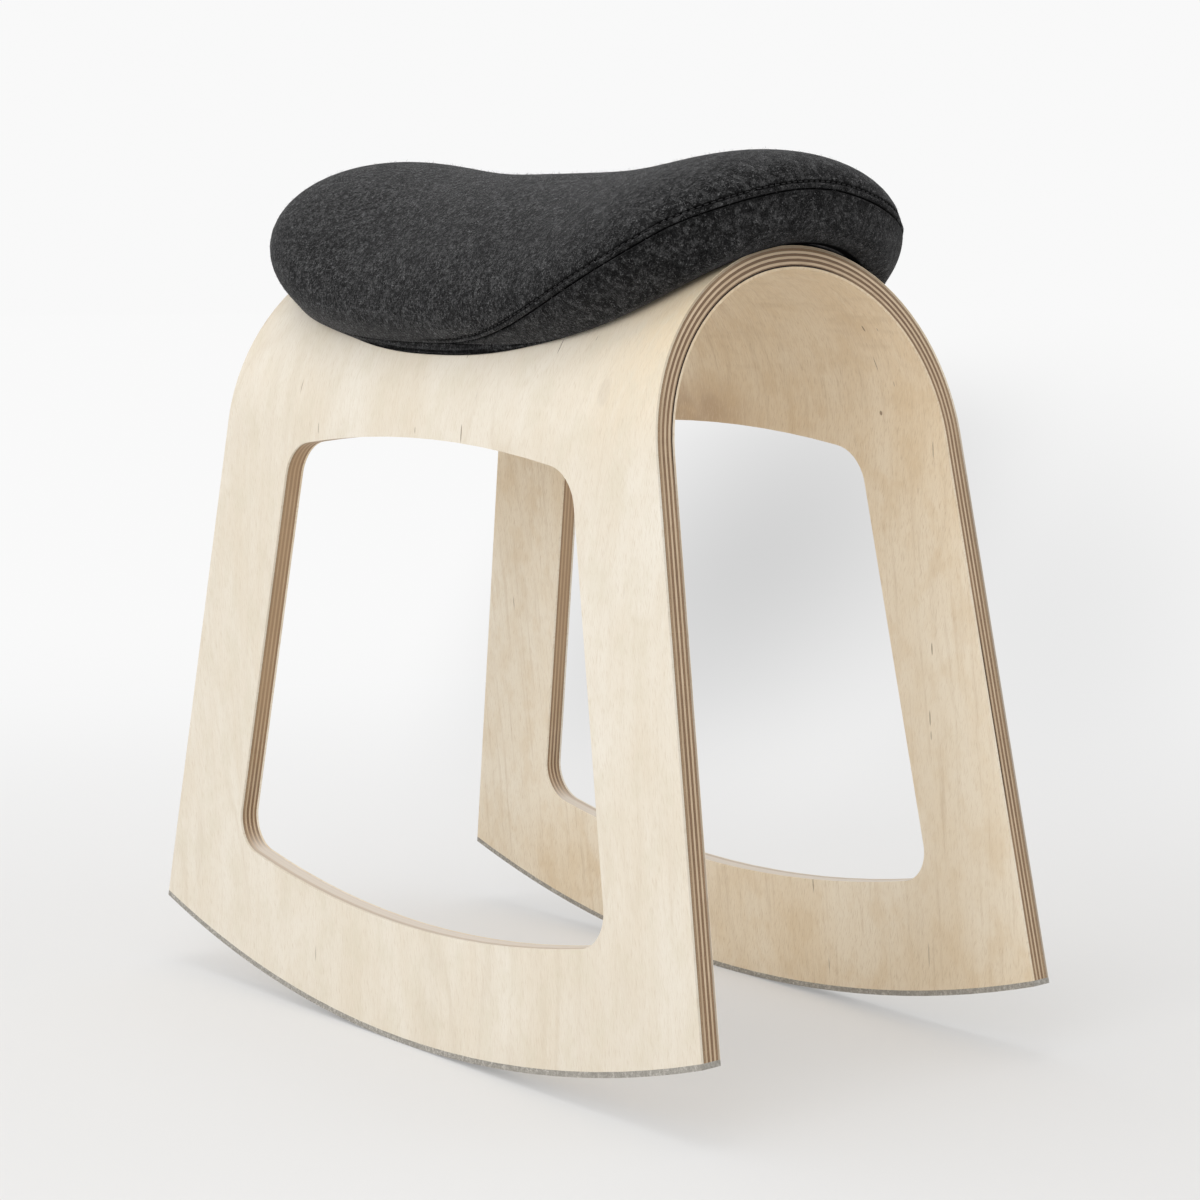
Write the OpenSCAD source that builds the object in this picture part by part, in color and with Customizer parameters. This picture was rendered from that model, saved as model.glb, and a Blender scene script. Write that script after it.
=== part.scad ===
// Rocking stool: a bent plywood arch on two curved rocker edges, with a saddle cushion.
// Millimetres. X runs across the arch, Y runs front to back (front is -Y), Z is up.
// The origin is on the floor, under the middle of the arch.

/* [Shell] */
// Height of the crest of the plywood above the floor
crest_h = 427; // [390:1:460]
// Outside radius of the crown
crown_r = 106; // [98:1:116]
// How far each leg leans out from upright, in degrees
leg_splay = 3.4; // [0:0.1:6]
// Thickness of one veneer of the nine
veneer_t = 1.33; // [1:0.01:1.6]

/* [Side outline] */
// Depth of the plywood, front to back, at the crest
crest_depth = 344; // [320:1:370]
// How far the front and back edges lean out from upright, in degrees
edge_lean = 10.2; // [6:0.1:13]
// Radius of the curved lower edge of the plywood
rocker_r = 770; // [650:5:1000]

/* [Windows] */
// Width of the post between a window and the front or back edge
post_w = 66; // [50:1:80]
// Height of the rail under a window, at its middle
rail_h = 61; // [45:1:80]
// Height of the top of a window above the floor, at its middle
window_top_h = 326; // [290:1:330]
// Radius of the curved top edge of a window
window_top_r = 750; // [500:10:1200]
// Radius of the two upper corners of a window
upper_corner_r = 24; // [12:1:34]
// Radius of the two lower corners of a window
lower_corner_r = 20; // [12:1:30]

/* [Felt strips] */
// Thickness of the felt glued under each rocker edge
felt_t = 3; // [2:0.5:5]

/* [Cushion outline] */
// Length of the cushion's underside, front to back
base_l = 365; // [340:1:372]
// Width of the underside, measured round the crown
base_w = 232; // [200:1:244]
// Length over the swollen ends
full_l = 385; // [376:1:410]
// Width at the widest line of the sides, measured round the crown
full_w = 223; // [196:1:240]
// How far the cushion sits back of the middle of the arch
set_back = 3; // [0:1:8]

/* [Cushion heights] */
// Thickness at the dip in the middle
dip_t = 38; // [30:0.5:44]
// How much the dome gains from the dip to the ends
hump_rise = 17; // [8:0.5:20]
// Distance from the middle at which the dome is full
hump_at = 184; // [150:1:190]
// Height of the widest line above the plywood, at the sides
side_edge_h = 5; // [5:0.5:9]
// Height of the widest line above the plywood, at the ends
end_edge_h = 18; // [16:0.5:26]
// Gap between the cushion's hem and the plywood
hem_gap = 0.7; // [0.6:0.1:1.5]

/* [Cushion cover] */
// Thickness of the wool felt cover
cloth_t = 1.8; // [1.2:0.1:2.4]
// Height to which the base panel is turned up round the side
turn_up_h = 4.5; // [4:0.1:6]
// Height of the front gusset above the turned-up edge
gusset_h = 31; // [15:0.5:33]
// Distance from the middle at which the gusset has its full height
gusset_at = 170; // [110:1:180]
// How far the seam dips from there to the middle of the front
gusset_dip = 7.5; // [0:0.5:8]
// Gap between the cover and the foam
foam_gap = 0.3; // [0.2:0.05:0.6]

/* [Fastening strips] */
// Thickness of a hook strip or of a loop strip
strip_t = 1.2; // [0.8:0.1:1.6]
// Width of a strip, measured round the crown
strip_w = 25; // [15:1:30]
// Length of a strip
strip_l = 200; // [120:5:220]
// Distance of a strip's centre line from the crest, measured round the crown
strip_at = 42; // [30:1:50]
// Spare height between the loop strips and the base panel
strip_gap = 0.5; // [0.4:0.1:0.8]

/* [Hidden] */
CORE_COUNT = 7;
core_names = [for (i = [1:CORE_COUNT]) str("core_veneer_", i)];

// One overrun serves every cut, and one ease lets a corner's disc cover its two ends
overrun = 2;
corner_ease = 0.01;
shell_t = (CORE_COUNT + 2) * veneer_t;
crown_z = crest_h - crown_r;
leg_reach = crest_h / cos(leg_splay);
half_span = crown_r + leg_reach * tan(leg_splay) + overrun;
rocker_z = felt_t + rocker_r;
bottom_depth = crest_depth / 2 + (crest_h + overrun) * tan(edge_lean);
window_top_z = window_top_h - window_top_r;
window_low_r = rocker_r - rail_h;
strip_stack = 2 * strip_t + strip_gap;

// Squareness of the plan outlines: 2 is an ellipse, more is squarer
base_square = 2.3;
full_square = 2.85;
// Squareness of the dome's section, along and up, at the sides and at the ends
side_run_square = 4.2;
side_rise_square = 3.2;
end_run_square = 3.05;
end_rise_square = 5.4;
// How late the ends' section takes over from the sides', and how flat the dip is
end_hold = 4.35;
dip_flat = 2;
// How late the seam climbs from the sides
seam_hold = 1.25;

// Facets of the round forms, and the rings of the cushion as shares of their run
$fn = 240;
around = 48;
dome_rings = 11;
base_ring_shares = [0.12, 0.24, 0.36, 0.48, 0.6, 0.7, 0.79, 0.87, 0.94, 1];
gusset_row_shares = [0, 0.25, 0.5, 0.75, 1];
seat_share = 0.87;
wedge_share = 1.2;
foam_hem_share = 0.06;

// Colours
pale_wood = "#e8dcc4";
dark_wood = "#8a6f58";
light_wood = "#c3a98a";
grey_felt = "#a19f9b";
charcoal_felt = "#3a3a3b";
foam_colour = "#d8cfb4";
strip_colour = "#1d1d1f";

// The layer of the arch between two depths below its outer face: a bent crown and two flat
// legs. Each leg is made together with the crown, so that the two join face to face.
module arch_layer(depth_a, depth_b) {
  outer_r = crown_r - depth_a;
  thick = depth_b - depth_a;
  translate([0, bottom_depth, crown_z])
    rotate([90, 0, 0])
      for (side = [0, 1])
        mirror([side, 0, 0])
          rotate([0, 0, leg_splay]) {
            rotate_extrude(angle = 180 - 2 * leg_splay)
              translate([outer_r - thick, 0]) square([thick, 2 * bottom_depth]);
            translate([outer_r - thick, -leg_reach, 0])
              cube([thick, leg_reach, 2 * bottom_depth]);
          }
}

// Side outline with leaning front and back edges, drawn in by a margin
module side_trapezium(margin) {
  high_z = crest_h + overrun;
  high_y = crest_depth / 2 - margin - overrun * tan(edge_lean);
  low_y = bottom_depth - margin;
  polygon([[-low_y, -overrun], [low_y, -overrun], [high_y, high_z], [-high_y, high_z]]);
}

// Centre of a rounded window corner of radius r, where the window's side meets a curve.
// The curve has its centre at height cz and radius cr; dir is 1 below that centre, -1 above.
function corner_centre(cz, cr, dir, r) =
  let (
    line = (crest_depth / 2 - post_w) * cos(edge_lean) + crest_h * sin(edge_lean),
    h = line - r - cz * sin(edge_lean),
    run = sqrt(pow(cr - r, 2) - h * h)
  )
  [h * cos(edge_lean) + dir * run * sin(edge_lean), cz + h * sin(edge_lean) - dir * run * cos(edge_lean)];

// The two points where a rounded corner leaves the curve and the side
function corner_ends(cz, cr, dir, r) =
  let (c = corner_centre(cz, cr, dir, r), to_curve = (c - [0, cz]) / norm(c - [0, cz]))
  [c + r * to_curve, c + r * [cos(edge_lean), sin(edge_lean)]];

// The slice of a disc beyond the chord from a to b
module disc_slice(centre, r, a, b) {
  intersection() {
    translate(centre) circle(r);
    polygon([a, b, centre + wedge_share * (b - centre), centre + wedge_share * (a - centre)]);
  }
}

function mirrored(p) = [-p.x, p.y];

// Window with curved top and bottom edges and four rounded corners, put together from a
// polygon of its corner ends, the slice of a disc on its curved edges and a disc in each corner
module window_outline() {
  low = corner_ends(rocker_z, window_low_r, 1, lower_corner_r);
  high = corner_ends(window_top_z, window_top_r, -1, upper_corner_r);
  right = [low[0], low[1], high[1], high[0]];
  polygon(concat(right, [for (i = [3:-1:0]) mirrored(right[i])]));
  disc_slice([0, rocker_z], window_low_r, mirrored(low[0]), low[0]);
  disc_slice([0, window_top_z], window_top_r, high[0], mirrored(high[0]));
  for (side = [0, 1])
    mirror([side, 0]) {
      translate(corner_centre(rocker_z, window_low_r, 1, lower_corner_r))
        circle(lower_corner_r + corner_ease);
      translate(corner_centre(window_top_z, window_top_r, -1, upper_corner_r))
        circle(upper_corner_r + corner_ease);
    }
}

// One veneer: its layer of the arch, cut to the side outline and the windows
module veneer(depth) {
  intersection() {
    arch_layer(depth, depth + veneer_t);
    rotate([90, 0, 90])
      linear_extrude(height = 2 * half_span, center = true)
        difference() {
          intersection() {
            side_trapezium(0);
            translate([0, rocker_z]) circle(rocker_r);
          }
          window_outline();
        }
  }
}

module outer_face_veneer() {
  color(pale_wood) veneer(0);
}

module core_veneer(i) {
  color(i % 2 == 1 ? dark_wood : light_wood) veneer(i * veneer_t);
}

module inner_face_veneer() {
  color(pale_wood) veneer(shell_t - veneer_t);
}

// Felt strip under the rocker edge of the leg on one side, 1 for right and -1 for left
module felt_strip(side) {
  color(grey_felt)
    intersection() {
      arch_layer(0, shell_t);
      mirror([side < 0 ? 1 : 0, 0, 0])
        rotate([90, 0, 90])
          linear_extrude(height = half_span)
            intersection() {
              side_trapezium(0);
              difference() {
                translate([0, rocker_z]) circle(rocker_r + felt_t);
                translate([0, rocker_z]) circle(rocker_r);
              }
            }
    }
}

// Angle round the crown that a length on its outer face takes
function crown_angle(length) = length / crown_r * 180 / PI;

// Fastening strip lying on the crown, from one height above the plywood to the next
module strip(side, height) {
  turn = crown_angle(strip_w);
  start = 90 - side * crown_angle(strip_at) - turn / 2;
  color(strip_colour)
    translate([0, set_back + strip_l / 2, crown_z])
      rotate([90, 0, 0])
        rotate([0, 0, start])
          rotate_extrude(angle = turn)
            translate([crown_r + height, 0]) square([strip_t, strip_l]);
}

function mix(a, b, share) = a + (b - a) * share;

// Plan outline of the cushion laid flat, at a bearing round it (270 is the front)
function outline(bearing, w, l, square) =
  let (
    c = cos(bearing),
    s = sin(bearing),
    reach = pow(pow(abs(c), square) + pow(abs(s), square), -1 / square)
  )
  [w / 2 * reach * c, l / 2 * reach * s];

// Thickness of the dome along the crest line, before its edge is rounded
function dome_t(y) = dip_t + hump_rise * pow((1 - cos(180 * min(abs(y) / hump_at, 1))) / 2, dip_flat);

// Point of the cushion's skin, laid flat: across, along and up from the plywood. Run 0 is the
// top, 1 the widest line, 2 the hem. Inset is how far the surface lies inside the skin.
function skin(bearing, run, inset) =
  let (
    wide = outline(bearing, full_w - 2 * inset, full_l - 2 * inset, full_square),
    share = pow(abs(wide.y) / (full_l / 2 - inset), end_hold),
    edge_h = mix(side_edge_h, end_edge_h, share)
  )
  run <= 1
    ? let (
        p = wide * pow(sin(90 * run), 2 / mix(side_run_square, end_run_square, share)),
        rise = pow(cos(90 * run), 2 / mix(side_rise_square, end_rise_square, share))
      )
      [p.x, p.y, mix(edge_h, dome_t(p.y) - inset, rise)]
    : let (
        hem = outline(bearing, base_w - 2 * inset, base_l - 2 * inset, base_square),
        p = mix(hem, wide, cos(90 * (run - 1)))
      )
      [p.x, p.y, mix(edge_h, hem_gap + inset, sin(90 * (run - 1)))];

// Point of the underside, laid flat. Share 0 is the middle and 1 the hem. The middle is
// lifted over the fastening strips.
function underside(bearing, share, inset) =
  let (
    hem = outline(bearing, base_w - 2 * inset, base_l - 2 * inset, base_square),
    drop = max(0, (share - seat_share) / (1 - seat_share))
  )
  [hem.x * share, hem.y * share, inset + mix(strip_stack, hem_gap, drop)];

// Height of the seam under the top panel, where the skin is at y along the cushion
function seam_h(y) =
  let (
    d = max(-y, 0),
    climb = pow(sin(90 * min(d / gusset_at, 1)), seam_hold),
    dip = max(d - gusset_at, 0) / (full_l / 2 - gusset_at)
  )
  turn_up_h + gusset_h * climb - gusset_dip * dip * dip;

// Run at which the skin comes down to the seam, or to the turned-up edge, found by halving
function seam_run(bearing, low = 0, high = 2, steps = 14) =
  let (mid = (low + high) / 2, p = skin(bearing, mid, 0))
  steps == 0 ? mid : p.z > seam_h(p.y)
    ? seam_run(bearing, mid, high, steps - 1)
    : seam_run(bearing, low, mid, steps - 1);
function hem_run(bearing, low = 0, high = 2, steps = 14) =
  let (mid = (low + high) / 2, p = skin(bearing, mid, 0))
  steps == 0 ? mid : p.z > turn_up_h
    ? hem_run(bearing, mid, high, steps - 1)
    : hem_run(bearing, low, mid, steps - 1);

// Lay a flat point on the crown
function lay(p) =
  let (turn = crown_angle(p.x), r = crown_r + p.z)
  [r * sin(turn), p.y + set_back, crown_z + r * cos(turn)];

bearings = [for (i = [0:around - 1]) 360 * i / around];

// Closed body through a row of closed loops, with a centre point at each end. Each patch
// is split along its shorter diagonal.
module loft(loops, first, last) {
  n = len(loops[0]);
  rows = len(loops);
  points = concat([first, last], [for (loop = loops) for (p = loop) p]);
  sides = [
    for (j = [0:rows - 2])
      for (i = [0:n - 1])
        let (a = 2 + j * n + i, b = 2 + j * n + (i + 1) % n, c = a + n, d = b + n)
          each norm(points[a] - points[d]) < norm(points[b] - points[c])
            ? [[a, c, d], [a, d, b]]
            : [[a, c, b], [b, c, d]]
  ];
  caps = [
    for (i = [0:n - 1])
      let (a = 2 + i, b = 2 + (i + 1) % n, c = a + (rows - 1) * n, d = b + (rows - 1) * n)
        each [[0, a, b], [1, d, c]]
  ];
  polyhedron(points = points, faces = concat(sides, caps));
}

// Closed loops of the skin, one for each row of runs, and of the underside
function skin_loops(rows, inset) =
  [for (runs = rows) [for (i = [0:around - 1]) lay(skin(bearings[i], runs[i], inset))]];
function underside_loops(shares, inset) =
  [for (s = shares) [for (bearing = bearings) lay(underside(bearing, s, inset))]];
function reversed(list) = [for (i = [len(list) - 1:-1:0]) list[i]];

// Share that closes up towards both ends of its run
function eased(share) = share * share / (share * share + (1 - share) * (1 - share));

seam_runs = [for (bearing = bearings) seam_run(bearing)];
hem_runs = [for (bearing = bearings) hem_run(bearing)];
full_runs = [for (bearing = bearings) 2];
dome_rows = [for (i = [1:dome_rings]) eased(i / dome_rings) * seam_runs];
gusset_rows = [for (share = gusset_row_shares) mix(seam_runs, hem_runs, share)];

// Upper cover panel, from the top down to the seam
module top_panel() {
  inner = skin_loops(dome_rows, cloth_t);
  outer = skin_loops(reversed(dome_rows), 0);
  color(charcoal_felt)
    loft(concat(inner, outer), lay(skin(0, 0, cloth_t)), lay(skin(0, 0, 0)));
}

// Lower cover panel, under the cushion and turned up round its side
module base_panel() {
  outer = concat(underside_loops(base_ring_shares, 0), skin_loops([hem_runs], 0));
  inner = concat(
    skin_loops([hem_runs], cloth_t),
    underside_loops(reversed(base_ring_shares), cloth_t)
  );
  color(charcoal_felt)
    loft(concat(outer, inner), lay(underside(0, 0, 0)), lay(underside(0, 0, cloth_t)));
}

// Crescent cover panel between the seam and the turned-up edge, round the front, with a
// pointed tip at each side
module front_gusset() {
  half = around / 2;
  outer = skin_loops(gusset_rows, 0);
  inner = skin_loops(reversed(gusset_rows), cloth_t);
  loops = [for (i = [half + 1:around - 1]) [for (loop = concat(outer, inner)) loop[i]]];
  tips = [for (i = [half, 0]) lay(skin(bearings[i], hem_runs[i], cloth_t / 2))];
  color(charcoal_felt) loft(loops, tips[0], tips[1]);
}

// Foam block that fills the cover
module foam_core() {
  inset = cloth_t + foam_gap;
  low_runs = [for (run = hem_runs) run + foam_hem_share];
  side_rows = [for (share = gusset_row_shares) if (share > 0) mix(seam_runs, low_runs, share)];
  loops = concat(
    underside_loops([for (share = base_ring_shares) if (share < 1) share], inset),
    skin_loops(reversed(concat(dome_rows, side_rows, [full_runs])), inset)
  );
  color(foam_colour) loft(loops, lay(underside(0, 0, inset)), lay(skin(0, 0, inset)));
}

outer_face_veneer();
for (i = [1:CORE_COUNT])
  core_veneer(i);
inner_face_veneer();
felt_strip(-1);  // left_felt_strip
felt_strip(1);  // right_felt_strip
strip(-1, 0);  // left_hook_strip
strip(1, 0);  // right_hook_strip
strip(-1, strip_t);  // left_loop_strip
strip(1, strip_t);  // right_loop_strip
base_panel();
foam_core();
front_gusset();
top_panel();
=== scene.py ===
"""Looks of the rocking stool: a bent birch plywood arch on felt-edged rockers, with a saddle
cushion in charcoal wool felt. Metres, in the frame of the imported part: +Z up, front at -Y."""

import logging
import math
from collections.abc import Callable
from dataclasses import dataclass
from enum import Enum
from functools import cached_property
from typing import TypeAlias

import bmesh
import bpy
import numpy as np
from bpy.types import ID, Material, Mesh, NodeOutputs, NodeSocket, Object, World
from mathutils import Matrix, Vector
from mathutils.kdtree import KDTree
from numpy import ndarray as Array


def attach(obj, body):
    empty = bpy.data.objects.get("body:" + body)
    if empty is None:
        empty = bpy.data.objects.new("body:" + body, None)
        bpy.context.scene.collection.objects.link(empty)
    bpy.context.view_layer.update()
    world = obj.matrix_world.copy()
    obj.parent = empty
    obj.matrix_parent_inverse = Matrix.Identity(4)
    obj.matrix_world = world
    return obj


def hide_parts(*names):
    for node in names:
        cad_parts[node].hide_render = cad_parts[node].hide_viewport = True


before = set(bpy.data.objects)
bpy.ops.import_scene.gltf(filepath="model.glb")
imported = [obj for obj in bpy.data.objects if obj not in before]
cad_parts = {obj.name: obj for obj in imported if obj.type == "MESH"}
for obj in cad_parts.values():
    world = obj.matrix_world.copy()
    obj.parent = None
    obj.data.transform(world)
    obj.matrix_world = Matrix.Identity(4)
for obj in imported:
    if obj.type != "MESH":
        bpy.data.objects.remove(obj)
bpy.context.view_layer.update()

LOG = logging.getLogger("rocking_stool")
MM = 0.001
QUARTER = np.pi / 2
WHOLE = 2 * np.pi
UP = np.array([0.0, 0.0, 1.0])
Colour: TypeAlias = tuple[float, float, float]
Value: TypeAlias = "Sock | float"
Spot: TypeAlias = "Sock | tuple[Value, Value, Value]"


class Panel(Enum):
    """The sewn panels of the cushion's cover, by the CAD node that each stands for."""

    TOP = "top_panel"
    GUSSET = "front_gusset"
    BASE = "base_panel"


PANEL_NAMES = {
    Panel.TOP: "cushion_top",
    Panel.GUSSET: "cushion_gusset",
    Panel.BASE: "cushion_base",
}
HAIR_DENSITY = {Panel.TOP: 42000.0, Panel.GUSSET: 9000.0}


class Grain(Enum):
    """Which way a veneer's grain runs, seen on the edge of the plywood."""

    ALONG = "along"
    ACROSS = "across"


# Shader maths ------------------------------------------------------------------------------


def maths(operation: str, reflected: bool = False) -> Callable[..., "Sock"]:
    """Make a method of Sock out of a Math node.

    Args:
        operation: the node's operation.
        reflected: True if the socket comes last.

    Returns:
        The method.
    """

    def method(sock: "Sock", *others: Value) -> "Sock":
        """The operation on the socket and the other values."""
        values = (*others, sock) if reflected else (sock, *others)
        return sock.recipe.node("ShaderNodeMath", dict(enumerate(values)), operation=operation)

    return method


class Sock:
    """A shader socket that takes part in arithmetic."""

    __add__, __radd__ = maths("ADD"), maths("ADD", True)
    __sub__, __rsub__ = maths("SUBTRACT"), maths("SUBTRACT", True)
    __mul__, __rmul__ = maths("MULTIPLY"), maths("MULTIPLY", True)
    __truediv__, __pow__, __abs__ = maths("DIVIDE"), maths("POWER"), maths("ABSOLUTE")
    sign, root, sine = maths("SIGN"), maths("SQRT"), maths("SINE")
    angle, above, larger = maths("ARCTAN2"), maths("GREATER_THAN"), maths("MAXIMUM")

    def __init__(self, recipe: "Recipe", socket: NodeSocket) -> None:
        """Wrap an output socket of a recipe."""
        self.recipe = recipe
        self.socket = socket

    def ramp(self, low: float, high: float) -> "Sock":
        """Smooth step from 0 at the low value to 1 at the high one."""
        inputs = {0: self, 1: low, 2: high}
        return self.recipe.node("ShaderNodeMapRange", inputs, interpolation_type="SMOOTHSTEP")

    def fall(self, low: float, high: float) -> "Sock":
        """Smooth step from 1 at the low value to 0 at the high one."""
        return 1 - self.ramp(low, high)


class Recipe:
    """The nodes of one material, or of the world."""

    def __init__(self, owner: Material | World) -> None:
        """Start with an empty tree.

        Args:
            owner: the material or world.
        """
        owner.use_nodes = True
        self.owner = owner
        self.tree = owner.node_tree
        self.tree.nodes.clear()

    @classmethod
    def named(cls, name: str) -> "Recipe":
        """The recipe of a new material."""
        return cls(bpy.data.materials.new(name))

    @cached_property
    def place(self) -> Sock:
        """The Object coordinates."""
        return self.node("ShaderNodeTexCoord", output="Object")

    def node(
        self, kind: str, inputs: dict | None = None, output: int | str = 0, **settings: str
    ) -> Sock:
        """Add any node.

        Args:
            kind: the node's type.
            inputs: values, colours or sockets, by the input's name or number.
            output: the output that is wanted, by name or number.
            settings: attributes to set first.

        Returns:
            The wanted output.
        """
        made = self.tree.nodes.new(kind)
        for key, value in settings.items():
            setattr(made, key, value)
        for key, value in (inputs or {}).items():
            socket = made.inputs[key]
            if isinstance(value, Sock):
                self.tree.links.new(value.socket, socket)
            elif socket.type == "RGBA":
                socket.default_value = (*value, 1.0)
            else:
                socket.default_value = value
        return Sock(self, made.outputs[output])

    def axes(self, vector: Sock) -> tuple[Sock, ...]:
        """The three parts of a vector."""
        parts = self.node("ShaderNodeSeparateXYZ", {0: vector})
        return tuple(Sock(self, out) for out in parts.socket.node.outputs)

    def vector(self, at: Spot) -> Sock:
        """A vector, which may be given by its three parts."""
        joined = isinstance(at, Sock)
        return at if joined else self.node("ShaderNodeCombineXYZ", dict(enumerate(at)))

    def noise(self, at: Spot, detail: float = 2.0, rough: float = 0.5, scale: float = 1.0) -> Sock:
        """Noise from 0 to 1, by its octaves, their strength and how many blobs to a unit."""
        inputs = {"Vector": self.vector(at), "Scale": scale, "Detail": detail, "Roughness": rough}
        return self.node("ShaderNodeTexNoise", inputs, "Fac")

    def cells(self, at: Spot, scale: float = 1.0) -> tuple[Sock, Sock]:
        """Scattered points.

        Args:
            at: where they are read.
            scale: how many to a unit.

        Returns:
            The distance to the nearest, and a chance from 0 to 1 for each.
        """
        inputs = {"Vector": self.vector(at), "Scale": scale}
        found = self.node("ShaderNodeTexVoronoi", inputs, "Distance")
        return found, self.axes(Sock(self, found.socket.node.outputs["Color"]))[0]

    def layered(self, colour: Colour, *layers: tuple[Value, Colour]) -> Sock:
        """Lay colours over each other.

        Args:
            colour: the lowest colour.
            layers: pairs of a share from 0 to 1 and the colour that is laid on by it.

        Returns:
            The colour that shows.
        """
        for share, over in layers:
            inputs = {0: share, 6: colour, 7: over}
            colour = self.node("ShaderNodeMix", inputs, 2, data_type="RGBA")
        return colour

    def bump(self, height: Sock, depth: float, strength: float) -> Sock:
        """Normal from a height of 0 to 1, where 1 stands for a depth in metres."""
        inputs = {"Height": height, "Distance": depth, "Strength": strength}
        return self.node("ShaderNodeBump", inputs)

    def principled(self, **values: "Value | Colour") -> Sock:
        """Principled shader, its inputs named with underscores for spaces."""
        inputs = {key.replace("_", " "): value for key, value in values.items()}
        return self.node("ShaderNodeBsdfPrincipled", inputs)

    def close(self, shader: Sock) -> Material | World:
        """Join a shader to the output.

        Args:
            shader: the shader.

        Returns:
            The material or world that it belongs to.
        """
        kind = "World" if isinstance(self.owner, World) else "Material"
        out = self.tree.nodes.new(f"ShaderNodeOutput{kind}")
        self.tree.links.new(shader.socket, out.inputs["Surface"])
        return self.owner


@dataclass(frozen=True)
class Plywood:
    """Sizes of the bent plywood, in metres, as the part's source has them."""

    crest_h: float = 0.427
    crown_r: float = 0.106
    splay: float = math.radians(3.4)
    veneer_t: float = 0.00133
    veneers: int = 9

    @property
    def crown_z(self) -> float:
        """Height of the axis that the crown is bent round."""
        return self.crest_h - self.crown_r

    def unroll(self, recipe: Recipe) -> tuple[Sock, Sock, Sock]:
        """Place on the plywood as if it lay flat.

        Args:
            recipe: the material that asks.

        Returns:
            The length along the grain from the crest, the place from front to back and the
            depth below the outer face.
        """
        x, y, z = recipe.axes(recipe.place)
        out, up = abs(x), z - self.crown_z
        sine, cosine = math.sin(self.splay), math.cos(self.splay)
        radius = (out * out + up * up).root()
        down = out * sine - up * cosine
        side = out * cosine + up * sine
        leg = down.above(0.0)
        bend = (QUARTER - self.splay) * self.crown_r
        length = out.angle(up) * self.crown_r * (1 - leg) + (down + bend) * leg
        depth = self.crown_r - (radius * (1 - leg) + side * leg)
        return length * x.sign(), y, depth


# Finishes ----------------------------------------------------------------------------------


@dataclass(frozen=True)
class Nick:
    """A small dark crack or fleck in the face veneer, by its place on the flat sheet."""

    along: float
    across: float
    length: float
    width: float
    depth: float

    def shade(self, along: Sock, across: Sock) -> Sock:
        """How strongly the nick shows.

        Args:
            along: place along the bend.
            across: place from front to back.

        Returns:
            The nick's depth on it, or else 0.
        """
        a = (along - self.along) / (self.length / 2)
        c = (across - self.across) / (self.width / 2)
        return (a * a + c * c).fall(0.3, 1.0) * self.depth


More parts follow.
